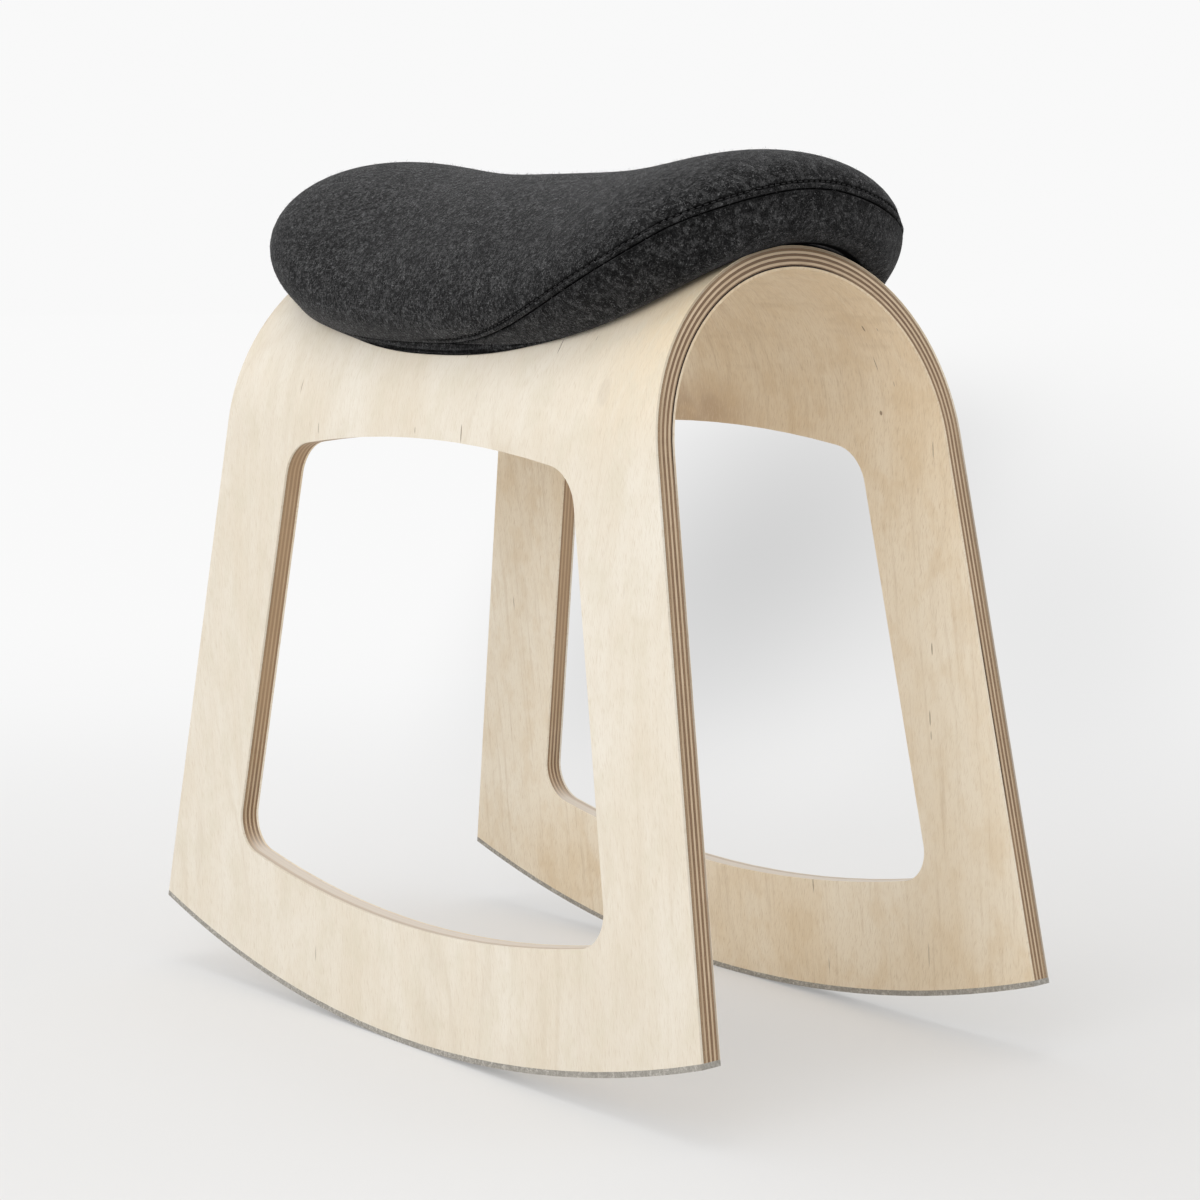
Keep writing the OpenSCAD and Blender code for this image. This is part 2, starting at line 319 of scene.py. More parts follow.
@dataclass(frozen=True)
class BirchFace:
    """Pale birch face veneer under a clear matt lacquer, with its grain along the bend."""

    name: str
    pale: Colour
    honey: Colour
    nicks: tuple[Nick, ...]
    fibre: Colour = (0.60, 0.50, 0.37)
    fleck: Colour = (0.17, 0.105, 0.06)
    slip: float = 0.0
    lean: float = 0.012
    curl: float = 0.12
    # painted warm bounce light and shade: a honey tone where the plywood bends round the crown
    painted_crown_warmth: float = 0.0
    figure: float = 1.6
    # painted shade: a warmer tan at the front of the crown, a darker tone low on the front legs
    painted_front_shade: float = 0.0
    # painted shadow of the cushion on the cut edge at the crown
    painted_cushion_shadow: float = 0.0
    inside: bool = False
    streaky: float = 0.20
    # painted light: paler legs, most of all towards the back, with fainter figure there
    painted_leg_light: float = 0.0
    # painted shade: a browner patch inside the crown, over the right opening
    painted_crown_shade: float = 0.0
    painted_crown_shade_at: tuple[float, float] = (0.154, 0.006)
    painted_crown_shade_size: tuple[float, float] = (0.024, 0.050)
    tan: Colour = (0.77, 0.61, 0.39)
    cloudy: Colour = (0.70, 0.635, 0.50)
    white: Colour = (0.96, 0.91, 0.80)
    crown_shade_brown: Colour = (0.40, 0.245, 0.13)

    def make(self, plywood: Plywood) -> Material:
        """Make the material, its grain laid along the bend of the plywood.

        Args:
            plywood: the sizes of the board.

        Returns:
            The material.
        """
        r = Recipe.named(self.name)
        along, across, depth = plywood.unroll(r)
        sway = r.noise((along * 2.2 + self.slip, across * 3.0, 0.0), 1.0) - 0.5
        grain = across + sway * 0.05 + (along * 14.0 + 1.8).sine() * self.lean
        layers, height, gloss = self._grain(r, along, across, grain)
        layers += [(nick.shade(along, across), self.fleck) for nick in self.nicks]
        layers += self._edges(along, across, depth, plywood)
        shader = r.principled(
            Base_Color=r.layered(self.pale, *layers),
            Roughness=gloss,
            Normal=r.bump(height, 0.00014, 0.7),
            Specular_IOR_Level=0.32,
            Coat_Weight=0.06,
            Coat_Roughness=0.35,
        )
        return r.close(shader)

    def _grain(self, r: Recipe, along: Sock, across: Sock, grain: Sock) -> tuple:
        """Clouds, growth rings, streaks, short dashes and flecks, and painted light and shade.

        Args:
            r: the material.
            along: place along the bend.
            across: place from front to back.
            grain: the same, swaying as the grain does.

        Returns:
            The layers of colour, the height of the fibres and the roughness.
        """
        slip, reach = self.slip, abs(along)
        cloud = r.noise((along * 7.0 + slip, grain * 22.0, 0.0), 3.0, 0.55)
        patch = r.noise((along * 24.0 + slip, across * 34.0, 3.0))
        curl = r.noise((along * 105.0, grain * 22.0 + slip, 6.0))
        curly = r.noise((along * 9.0 + 4.0, across * 9.0, slip), 1.0)
        flame = r.noise((along * 3.2, grain * 15.0 + slip, 0.5))
        rings = ((flame * 64.0 + grain * 60.0).sine() * 0.5 + 0.5) ** 5.0
        ringed = r.noise((along * 4.0, across * 6.0, slip + 3.0), 1.0)
        streak = r.noise((along * 13.0, grain * 260.0 + slip, 0.0), 3.0, 0.6)
        dash = r.noise((along * 135.0, (grain + along * 0.05) * 1150.0, 0.0), 2.0, 0.6)
        hair = r.noise((along * 420.0, grain * 3000.0, 1.0), 2.0, 0.6)
        blotch = r.noise((along * 42.0 + slip, across * 58.0, 7.0), 3.0, 0.6)
        skew = ((along + across * 0.35) * 150.0, (across - along * 0.35) * 1300.0, 9.0)
        scratch = r.noise(skew, 2.0, 0.6)
        found, chance = r.cells((along * 22.0 + slip, grain * 260.0, 4.0))
        bent = reach.fall(0.06, 0.19)
        front = across.fall(-0.185, -0.07)
        leg = reach.ramp(0.17, 0.30) * (1 - reach.ramp(0.40, 0.46) * 0.8)
        # painted light on the legs, most of all towards the back; the figure is fainter there too
        painted_light_on_legs = leg * (across.ramp(0.0, 0.15) * 0.7 + 1)
        figure = (1 - leg * (self.painted_leg_light * 1.3)) * self.figure
        layers = [
            (cloud.ramp(0.30, 0.72) * 0.75, self.honey),
            # painted warm bounce light and shade: a honey tone where the plywood bends round the
            # crown
            (bent * self.painted_crown_warmth, self.honey),
            # painted shade: a warmer tan at the front of the crown, a darker tone low on the front
            # legs
            (front * bent * self.painted_front_shade, self.tan),
            (front * reach.ramp(0.34, 0.47) * (self.painted_front_shade * 0.30), self.fibre),
            (painted_light_on_legs * self.painted_leg_light, self.white),
            # painted shade: a browner patch inside the crown, over the right opening
            (self._painted_crown_shade(along, across, patch) * self.painted_crown_shade, self.crown_shade_brown),
            (patch.ramp(0.48, 0.78) * 0.35, self.honey),
            (patch.fall(0.24, 0.46) * 0.40, self.pale),
            (curl.ramp(0.48, 0.74) * curly.ramp(0.36, 0.60) * bent * self.curl, self.fibre),
            (rings * ringed.ramp(0.44, 0.66) * 0.26, self.fibre),
            (streak.ramp(0.50, 0.80) * self.streaky, self.fibre),
            (streak.fall(0.24, 0.46) * 0.40, self.pale),
            (dash.ramp(0.52, 0.74) * figure * 0.24, self.fibre),
            (dash.fall(0.26, 0.46) * 0.30, self.pale),
            (hair.ramp(0.56, 0.80) * figure * 0.16, self.fibre),
            (blotch.ramp(0.46, 0.68) * figure * 0.24, self.cloudy),
            (scratch.fall(0.30, 0.46) * figure * 0.17, self.pale),
            (scratch.ramp(0.54, 0.70) * figure * 0.21, self.fibre),
            (found.fall(0.04, 0.14) * chance.above(0.955) * 0.75, self.fleck),
        ]
        return layers, dash * 0.6 + hair * 0.5 + streak * 0.4, 0.50 + dash * 0.16

    def _painted_crown_shade(self, along: Sock, across: Sock, patch: Sock) -> Sock:
        """Painted shade: a browner patch over the right opening.

        Args:
            along: place along the bend.
            across: place from front to back.
            patch: the soft noise that breaks its edge.

        Returns:
            How dark the painted shade is, from 0 to 1.
        """
        a = (along - self.painted_crown_shade_at[0]) / self.painted_crown_shade_size[0]
        c = (across - self.painted_crown_shade_at[1]) / self.painted_crown_shade_size[1]
        return (a * a + c * c).root().fall(0.1, 1.3) * (0.55 + patch.ramp(0.30, 0.62) * 0.45)

    def _edges(self, along: Sock, across: Sock, depth: Sock, plywood: Plywood) -> list:
        """Layers that darken the glue lines, and painted shadow and shade on the cut edges.

        Args:
            along: place along the bend.
            across: place from front to back.
            depth: depth below the outer face.
            plywood: the sizes of the board.

        Returns:
            The layers: painted cushion shadow at the crown, painted shade on a leg, and the glue.
        """
        ply, core = plywood.veneer_t, plywood.veneers - 1
        glue = depth.ramp(ply * 0.9, ply) * (depth - ply * core).fall(0.0, ply * 0.1)
        cut = abs(depth - (ply * plywood.veneers if self.inside else 0.0)).ramp(0.0001, 0.0004)
        # painted shade on the front cut edges of the leg that lies in shade
        shady = (along * (-1.0 if self.inside else 1.0)).ramp(0.12, 0.20)
        return [
            # painted shadow of the cushion on the cut edge at the crown
            (cut * abs(along).fall(0.05, 0.13) * self.painted_cushion_shadow, self.fleck),
            (cut * shady * across.fall(-0.172, -0.164) * 0.60, self.fleck),
            (glue * 0.5, self.fibre),
        ]


@dataclass(frozen=True)
class EdgeVeneer:
    """Edge of one core veneer, cut and sealed."""

    name: str
    number: int
    grain: Grain
    body: Colour
    shade: Colour
    glue: Colour = (0.065, 0.038, 0.022)
    glue_and_shade: Colour = (0.018, 0.010, 0.006)
    crown_pale: Colour = (0.70, 0.545, 0.375)
    rubbed: Colour = (0.47, 0.315, 0.185)
    # painted sheen on the upward-facing sills of the openings
    painted_sill_sheen: Colour = (0.80, 0.74, 0.66)
    coat: float = 0.28
    paler_at_crown: int = 2
    strong_sheen_from: int = 3
    last: int = 7

    def make(self, plywood: Plywood) -> Material:
        """Make the material.

        Args:
            plywood: the sizes that lay the edge out flat.

        Returns:
            The material.
        """
        r = Recipe.named(self.name)
        along, across, depth = plywood.unroll(r)
        ply = depth - self.number * plywood.veneer_t
        slip = self.number * 7.3
        if self.grain is Grain.ALONG:
            fine = r.noise(((along + across * 0.9) * 90.0 + slip, ply * 3600.0, 0.0), 3.0, 0.6)
        else:
            fine = r.noise((along * 1700.0, across * 1700.0, ply * 1900.0), 3.0, 0.7)
        broad = r.noise((along * 22.0 + slip, across * 22.0, 0.0))
        layers = [
            (fine.ramp(0.3, 0.72) * 0.75, self.shade),
            (broad.ramp(0.35, 0.7) * 0.4, self.shade),
        ]
        # Cross-grain plies are darker at the crown: painted shade under the cushion. One light ply
        # is paler there.
        crown = abs(along).fall(0.07, 0.17)
        if self.grain is Grain.ACROSS:
            layers.append((crown * 0.62, self.shade))
        elif self.number == self.paler_at_crown:
            layers.append((crown * 0.75, self.crown_pale))
        layers.append((ply.fall(0.0, 0.00024) * (0.5 + broad * 0.6), self.glue))
        coat = self.coat
        # the last ply's inner side: a dark glue line with painted shade, left without coat
        if self.number == self.last:
            glue_and_shade = self._glue_line_shade(along, across, plywood.veneer_t - ply)
            layers.append((glue_and_shade, self.glue_and_shade))
            coat = glue_and_shade.fall(0.0, 1.0) * coat
        routed = abs(across).fall(0.150, 0.165)
        sill = abs(along).ramp(0.355, 0.395)
        layers += [
            (routed * (0.30 if self.number in (1, self.last) else 0.62), self.rubbed),
            # painted sheen: the sills of the openings are paler and greyer
            (routed * sill * (0.45 if self.number < self.strong_sheen_from else 0.80), self.painted_sill_sheen),
        ]
        shader = r.principled(
            Base_Color=r.layered(self.body, *layers),
            Roughness=0.62 + fine * 0.2,
            Normal=r.bump(fine, 0.00015, 0.6),
            Specular_IOR_Level=0.3,
            Coat_Weight=coat,
            Coat_Roughness=0.32,
        )
        return r.close(shader)

    @staticmethod
    def _glue_line_shade(along: Sock, across: Sock, left: Sock) -> Sock:
        """The dark glue line along the inner face veneer, darkened further with painted shade.

        Args:
            along: place along the bend.
            across: place from front to back.
            left: depth left to the veneer's inner side.

        Returns:
            About 1 on the line, or else 0.
        """
        crown = along.ramp(-0.19, -0.15) * along.fall(0.015, 0.05)
        leg = along.ramp(0.24, 0.28) * along.fall(0.33, 0.38)
        return left.fall(0.0006, 0.0009) * (crown + leg * 0.8) * across.fall(-0.12, -0.08)


@dataclass(frozen=True)
class WoolFelt:
    """Heather wool felt: light and dark fibres, matted into a soft nap."""

    name: str
    dark: Colour = (0.0015, 0.0015, 0.0016)
    mid: Colour = (0.053, 0.053, 0.0535)
    light: Colour = (0.220, 0.220, 0.222)
    mottle: float = 440.0
    nap: float = 0.0009
    sheen: float = 0.155

    def make(self) -> Material:
        """Make the material; a point attribute of painted shade mixes in a plain dark.

        Returns:
            The material.
        """
        r = Recipe.named(self.name)
        at = r.place
        x, y, z = r.axes(at)
        bend = (r.noise(at, scale=70.0) - 0.5) * 14.0
        broad = r.noise(at, scale=self.mottle * 0.2)
        clumps = r.noise(at, 3.0, 0.62, self.mottle)
        blots, specks, lint = (
            r.noise(at, 2.0, 0.6, self.mottle * finer) for finer in (0.55, 2.6, 4.6)
        )
        fibres_a = r.noise((x * 420.0 + bend, y * 2000.0, z * 420.0), 2.0, 0.6)
        fibres_b = r.noise((x * 2000.0, y * 380.0 + bend, z * 2000.0), 2.0, 0.6)
        fibres = fibres_a.ramp(0.52, 0.66) + fibres_b.ramp(0.52, 0.66)
        front = y.fall(-0.15, -0.05) * 0.7
        # painted sheen: towards the top the felt is lighter and more mottled, with more light
        # fibres, over its own heather
        rise = z.ramp(0.425, 0.470) * (1 - front * 0.6)
        shade = clumps.ramp(0.44, 0.57) * 0.55 + specks.ramp(0.45, 0.57) * 0.45
        shade = shade + (lint.ramp(0.42, 0.58) - shade) * (front * 0.5)
        shade = shade * ((0.34 - rise * 0.28) + blots.ramp(0.43, 0.58) * (0.68 + rise * 0.75))
        shade = shade * (0.70 + broad.ramp(0.38, 0.62) * 0.58)
        light_fibres_and_sheen = fibres * specks.ramp(0.46, 0.60) * clumps.ramp(0.38, 0.56) * (1 - front * 0.4)
        light_fibres_and_sheen = light_fibres_and_sheen * (0.50 + rise * 0.35)
        height = clumps * 0.5 + specks * 0.45 + fibres * 0.16 + blots * 0.5
        cloth = r.principled(
            Base_Color=r.layered(self.dark, (shade, self.mid), (light_fibres_and_sheen, self.light)),
            Roughness=0.90 + specks * 0.1,
            Normal=r.bump(height, self.nap, 0.9),
            Specular_IOR_Level=0.05,
            Sheen_Weight=self.sheen,
            Sheen_Roughness=0.4,
            Sheen_Tint=(0.9, 0.9, 0.92),
        )
        # painted shade: where the attribute is 1, a plain dark diffuse takes the felt's place
        painted_shade = r.node("ShaderNodeAttribute", output="Fac", attribute_name="painted_shade")
        painted_dark = r.node("ShaderNodeBsdfDiffuse", {"Color": self.dark, "Roughness": 0.9})
        inputs = {0: painted_shade.ramp(0.0, 1.0), 1: cloth, 2: painted_dark}
        return r.close(r.node("ShaderNodeMixShader", inputs))


@dataclass(frozen=True)
class Thread:
    """Sewing thread or a loose fibre."""

    name: str
    colour: Colour = (0.003, 0.003, 0.0033)
    light: Colour = (0.012, 0.012, 0.0125)
    fine: float = 1500.0
    sheen: float = 0.2

    def make(self) -> Material:
        """Make the material.

        Returns:
            The material.
        """
        r = Recipe.named(self.name)
        twist = r.noise(r.place, scale=self.fine)
        shader = r.principled(
            Base_Color=r.layered(self.colour, (twist.ramp(0.35, 0.65), self.light)),
            Roughness=0.6 + twist * 0.2,
            Normal=r.bump(twist, 0.00008, 0.7),
            Sheen_Weight=self.sheen,
        )
        return r.close(shader)


@dataclass(frozen=True)
class WovenTape:
    """Black fastening tape: a flat weave with a field of hooks or loops."""

    name: str
    pitch: float = 2800.0
    dark: Colour = (0.008, 0.008, 0.009)
    light: Colour = (0.045, 0.045, 0.048)

    def make(self) -> Material:
        """Make the material.

        Returns:
            The material.
        """
        r = Recipe.named(self.name)
        x, y, _ = r.axes(r.place)
        weave = ((x * self.pitch).sine() * (y * self.pitch).sine()) * 0.5 + 0.5
        lint = r.noise(r.place, 3.0, scale=900.0)
        shader = r.principled(
            Base_Color=r.layered(self.dark, (weave * 0.6 + lint * 0.4, self.light)),
            Roughness=0.75 + lint * 0.2,
            Normal=r.bump(weave * 0.7 + lint * 0.3, 0.0002, 0.8),
        )
        return r.close(shader)


@dataclass(frozen=True)
class Foam:
    """Cut open-cell foam."""

    name: str
    pit: Colour = (0.38, 0.31, 0.18)
    wall: Colour = (0.72, 0.64, 0.42)
    stain: Colour = (0.60, 0.50, 0.30)

    def make(self) -> Material:
        """Make the material.

        Returns:
            The material.
        """
        r = Recipe.named(self.name)
        cells = r.cells(r.place, 900.0)[0]
        tone = r.noise(r.place, scale=40.0)
        layers = (cells.ramp(0.1, 0.6), self.wall), (tone.ramp(0.4, 0.8) * 0.25, self.stain)
        shader = r.principled(
            Base_Color=r.layered(self.pit, *layers),
            Roughness=0.9 + tone * 0.08,
            Normal=r.bump(cells, 0.0005, 0.8),
        )
        return r.close(shader)


# Meshes ------------------------------------------------------------------------------------


def put(name: str, data: ID) -> Object:
    """Put a mesh, lamp or camera in the scene at the origin.

    Args:
        name: the object's name.
        data: what it shows. A mesh is made smooth.

    Returns:
        The object.
    """
    if isinstance(data, Mesh):
        data.polygons.foreach_set("use_smooth", [True] * len(data.polygons))
    made = bpy.data.objects.new(name, data)
    bpy.context.scene.collection.objects.link(made)
    return made


def mesh_of(name: str, points: Array, edges: list, faces: list) -> Object:
    """Make an object.

    Args:
        name: the object's name.
        points: its points.
        edges: its loose edges, as pairs of point numbers.
        faces: its faces, as point numbers.

    Returns:
        The object.
    """
    mesh = bpy.data.meshes.new(name)
    mesh.from_pydata([tuple(p) for p in points], edges, faces)
    return put(name, mesh)


def grid(name: str, points: Array, closed: bool, poles: tuple = ()) -> Object:
    """Object from lines of points.

    Args:
        name: the object's name.
        points: an array of lines by rows by 3.
        closed: True if the last line joins the first.
        poles: the points that close the first and the last row.

    Returns:
        The object.
    """
    lines, rows = points.shape[:2]
    verts = [*points.reshape(-1, 3)]
    starts = [(i * rows, (i + 1) % lines * rows) for i in range(lines if closed else lines - 1)]
    faces = [(a + j, a + j + 1, b + j + 1, b + j) for a, b in starts for j in range(rows - 1)]
    for row, point in zip((0, rows - 1), poles):
        end = len(verts)
        verts.append(point)
        for a, b in starts:
            faces.append((end, a + row, b + row) if row == 0 else (end, b + row, a + row))
    return mesh_of(name, verts, [], faces)


def tube(name: str, points: Array) -> Object:
    """Object through rings of points, with its two ends capped.

    Args:
        name: the object's name.
        points: an array of rings by rows by 3.

    Returns:
        The object.
    """
    rings, rows = points.shape[:2]
    last = (rings - 1) * rows
    faces = [
        (a + j, a + (j + 1) % rows, a + (j + 1) % rows + rows, a + j + rows)
        for a in range(0, last, rows)
        for j in range(rows)
    ]
    faces += [tuple(range(rows)), tuple(range(last + rows - 1, last - 1, -1))]
    return mesh_of(name, points.reshape(-1, 3), [], faces)


def face_out(piece: Object) -> None:
    """Turn a piece's faces outwards.

    Args:
        piece: a closed piece.
    """
    work = bmesh.new()
    work.from_mesh(piece.data)
    bmesh.ops.recalc_face_normals(work, faces=work.faces)
    work.to_mesh(piece.data)
    work.free()


def bake(piece: Object, name: str) -> Object:
    """Turn what an object's modifiers make into a plain mesh of its own.

    Args:
        piece: the object, which is removed.
        name: the name of the new object.

    Returns:
        The new object.
    """
    bpy.context.view_layer.update()
    graph = bpy.context.evaluated_depsgraph_get()
    mesh = bpy.data.meshes.new_from_object(piece.evaluated_get(graph), depsgraph=graph)
    bpy.data.objects.remove(piece)
    mesh.name = name
    return put(name, mesh)


def dress(piece: Object, material: Material) -> None:
    """Give a piece one material."""
    piece.data.materials.clear()
    piece.data.materials.append(material)


def read(mesh: Mesh) -> Array:
    """Read a mesh.

    Args:
        mesh: the mesh.

    Returns:
        Its points.
    """
    out = np.empty(len(mesh.vertices) * 3, np.float32)
    mesh.vertices.foreach_get("co", out)
    return out.reshape(-1, 3).astype(float)


def tree_of(points: Array) -> KDTree:
    """Sort points by place.

    Args:
        points: the points.

    Returns:
        A tree that finds the nearest of them.
    """
    tree = KDTree(len(points))
    for i, point in enumerate(points):
        tree.insert(Vector(point), i)
    tree.balance()
    return tree


# Cushion -----------------------------------------------------------------------------------


def packed(share: Array, power: int = 2) -> Array:
    """Steps from 0 to 1 that lie closer at both ends."""
    return share**power / (share**power + (1 - share) ** power)


def round_about(count: int) -> Array:
    """Bearings at even steps, all the way round."""
    return np.linspace(0, WHOLE, count, endpoint=False)


@dataclass(frozen=True)
class Bell:
    """A change that is strongest at a distance from a seam, both ways in millimetres."""

    strength: float
    middle_mm: float
    width_mm: float

    def at(self, away: Array) -> Array:
        """How strong it is, by the distance from the seam in metres."""
        off = (away - self.middle_mm * MM) / (self.width_mm * MM)
        return self.strength * np.exp(-(off**2))


@dataclass(frozen=True)
class CushionForm:
    """Form of the saddle cushion, in metres.

    Its sizes are those of the part's source, except that the front seam (its hold and its skew)
    and the turned-up edge at the front follow the photograph more closely.

    Points are first laid flat: across, along and up from the plywood. A run of 0 is the top,
    1 the widest line and 2 the hem. A bearing is the way from the middle, in radians, with the
    front at three quarters of a turn, and an inset is how far inside the skin a surface lies.
    """

    plywood: Plywood
    base_l: float = 0.365
    base_w: float = 0.232
    full_l: float = 0.385
    full_w: float = 0.223
    set_back: float = 0.003
    dip_t: float = 0.038
    hump_rise: float = 0.017
    hump_at: float = 0.184
    side_edge_h: float = 0.005
    end_edge_h: float = 0.018
    hem_gap: float = 0.0007
    cloth_t: float = 0.0018
    turn_up_h: float = 0.0045
    turn_up_front: float = 0.0017
    turn_up_l: float = 0.12
    gusset_h: float = 0.031
    gusset_at: float = 0.170
    gusset_dip: float = 0.0075
    lift: float = 0.0029
    base_square: float = 2.3
    full_square: float = 2.85
    side_squares: tuple[float, float] = (4.2, 3.2)
    end_squares: tuple[float, float] = (3.05, 5.4)
    end_hold: float = 4.35
    dip_flat: float = 2.0
    seam_hold: float = 2.0
    seam_skew: float = 0.08
    skew_from: float = 0.012
    skew_w: float = 0.05
    seat_share: float = 0.87
    upper_steps: int = 700
    lower_steps: int = 160

    @staticmethod
    def outline(bearing: Array, width: float, length: float, square: float) -> tuple:
        """Plan outline laid flat.

        Args:
            bearing: the bearings.
            width: the outline's width.
            length: the outline's length.
            square: its squareness, 2 for an ellipse.

        Returns:
            The places across and along.
        """
        c, s = np.cos(bearing), np.sin(bearing)
        reach = (np.abs(c) ** square + np.abs(s) ** square) ** (-1 / square)
        return width / 2 * reach * c, length / 2 * reach * s

    def widest(self, bearing: Array, inset: float = 0.0) -> tuple:
        """The widest line laid flat."""
        inner = self.full_w - 2 * inset, self.full_l - 2 * inset
        return self.outline(bearing, *inner, self.full_square)

    def hem(self, bearing: Array, inset: float = 0.0) -> tuple:
        """The hem laid flat."""
        inner = self.base_w - 2 * inset, self.base_l - 2 * inset
        return self.outline(bearing, *inner, self.base_square)

    def dome(self, y: Array) -> Array:
        """Thickness of the dome along the crest line."""
        turn = np.pi * np.minimum(np.abs(y) / self.hump_at, 1)
        return self.dip_t + self.hump_rise * ((1 - np.cos(turn)) / 2) ** self.dip_flat

    def skin(self, bearing: Array, run: Array, inset: float = 0.0) -> Array:
        """Points of the skin.

        Args:
            bearing: the bearings.
            run: how far down the skin.
            inset: how far inside the skin.

        Returns:
            The points laid flat.
        """
        wide, hem = self.widest(bearing, inset), self.hem(bearing, inset)
        share = (np.abs(wide[1]) / (self.full_l / 2 - inset)) ** self.end_hold
        edge = self.side_edge_h + (self.end_edge_h - self.side_edge_h) * share
        along, rising = (a + (b - a) * share for a, b in zip(self.side_squares, self.end_squares))
        upper = QUARTER * np.clip(run, 0, 1)
        k = np.sin(upper) ** (2 / along)
        rise = np.maximum(np.cos(upper), 0) ** (2 / rising)
        high = wide[0] * k, wide[1] * k, edge + (self.dome(wide[1] * k) - inset - edge) * rise
        turn = QUARTER * np.clip(run - 1, 0, 1)
        plan = (hem[i] + (wide[i] - hem[i]) * np.cos(turn) for i in range(2))
        low = *plan, edge + (self.hem_gap + inset - edge) * np.sin(turn)
        parts = (np.where(run <= 1, a, b) for a, b in zip(high, low))
        return np.stack(np.broadcast_arrays(*parts), -1)

    def under(self, bearing: Array, share: Array, inset: float = 0.0) -> Array:
        """Points of the underside.

        Args:
            bearing: the bearings.
            share: how far out, from the middle at 0 to the hem at 1.
            inset: how far inside the skin.

        Returns:
            The points laid flat.
        """
        hem = self.hem(bearing, inset)
        drop = np.clip((share - self.seat_share) / (1 - self.seat_share), 0, 1)
        z = inset + self.lift + (self.hem_gap - self.lift) * drop
        return np.stack(np.broadcast_arrays(hem[0] * share, hem[1] * share, z), -1)

    def seam_height(self, x: Array, y: Array) -> Array:
        """Height of the seam under the top panel.

        Args:
            x: place across.
            y: place along.

        Returns:
            The height that the skin has where it crosses the seam there.
        """
        d = np.maximum(-y, 0)
        climb = np.sin(QUARTER * np.minimum(d / self.gusset_at, 1)) ** self.seam_hold
        climb = climb * (1 - self.seam_skew * np.clip((x - self.skew_from) / self.skew_w, 0, 1))
        dip = np.maximum(d - self.gusset_at, 0) / (self.full_l / 2 - self.gusset_at)
        return self.turn_up_h + self.gusset_h * climb - self.gusset_dip * dip * dip

    def turn_height(self, y: Array) -> Array:
        """Height of the turned-up edge.

        Args:
            y: place along.

        Returns:
            The height that the skin has where it crosses the edge there.
        """
        share = np.clip(-y / self.turn_up_l, 0, 1)
        ease = share * share * (3 - 2 * share)
        return self.turn_up_h + (self.turn_up_front - self.turn_up_h) * ease

    def lay(self, flat: Array) -> Array:
        """Lay flat points on the crown.

        Args:
            flat: the points.

        Returns:
            The points in the shared frame.
        """
        turn, r = flat[..., 0] / self.plywood.crown_r, self.plywood.crown_r + flat[..., 2]
        up = self.plywood.crown_z + r * np.cos(turn)
        return np.stack((r * np.sin(turn), flat[..., 1] + self.set_back, up), -1)

    def height(self, points: Array) -> Array:
        """Height of laid points above the plywood of the crown."""
        up = points[..., 2] - self.plywood.crown_z
        return np.hypot(points[..., 0], up) - self.plywood.crown_r

    def down(self, bearing: Array, closed: bool = True) -> "Meridians":
        """Lines down the skin.

        Args:
            bearing: their bearings.
            closed: True if they go right round.

        Returns:
            The lines, measured.
        """
        upper, lower = (np.linspace(0, 1, n) for n in (self.upper_steps, self.lower_steps))
        run = np.concatenate([packed(upper, 3), 1 + lower[1:]])
        return Meridians(self, self.skin(bearing[:, None], run), closed)

    def seams(self) -> Array:
        """Points along both sewn lines: under the top panel, and along the turned-up edge."""
        lines = self.down(round_about(360))
        return lines.at(np.stack([lines.seam, lines.turn], 1))[0].reshape(-1, 3)

    def block(self, name: str, step: float, runs: Array, shares: Array, inset: float) -> Object:
        """A closed block inside the skin.

        Args:
            name: its name.
            step: degrees from line to line.
            runs: its rows down the skin.
            shares: its rows across the underside, from the hem in.
            inset: how far inside the skin.

        Returns:
            The block.
        """
        bearing, middle = np.radians(np.arange(0, 360, step))[:, None], np.zeros(1)
        halves = [self.skin(bearing, runs, inset), self.under(bearing, shares, inset)]
        ends = (half(middle, middle, inset) for half in (self.skin, self.under))
        poles = tuple(self.lay(end)[0] for end in ends)
        piece = grid(name, self.lay(np.concatenate(halves, axis=1)), True, poles)
        face_out(piece)
        return piece


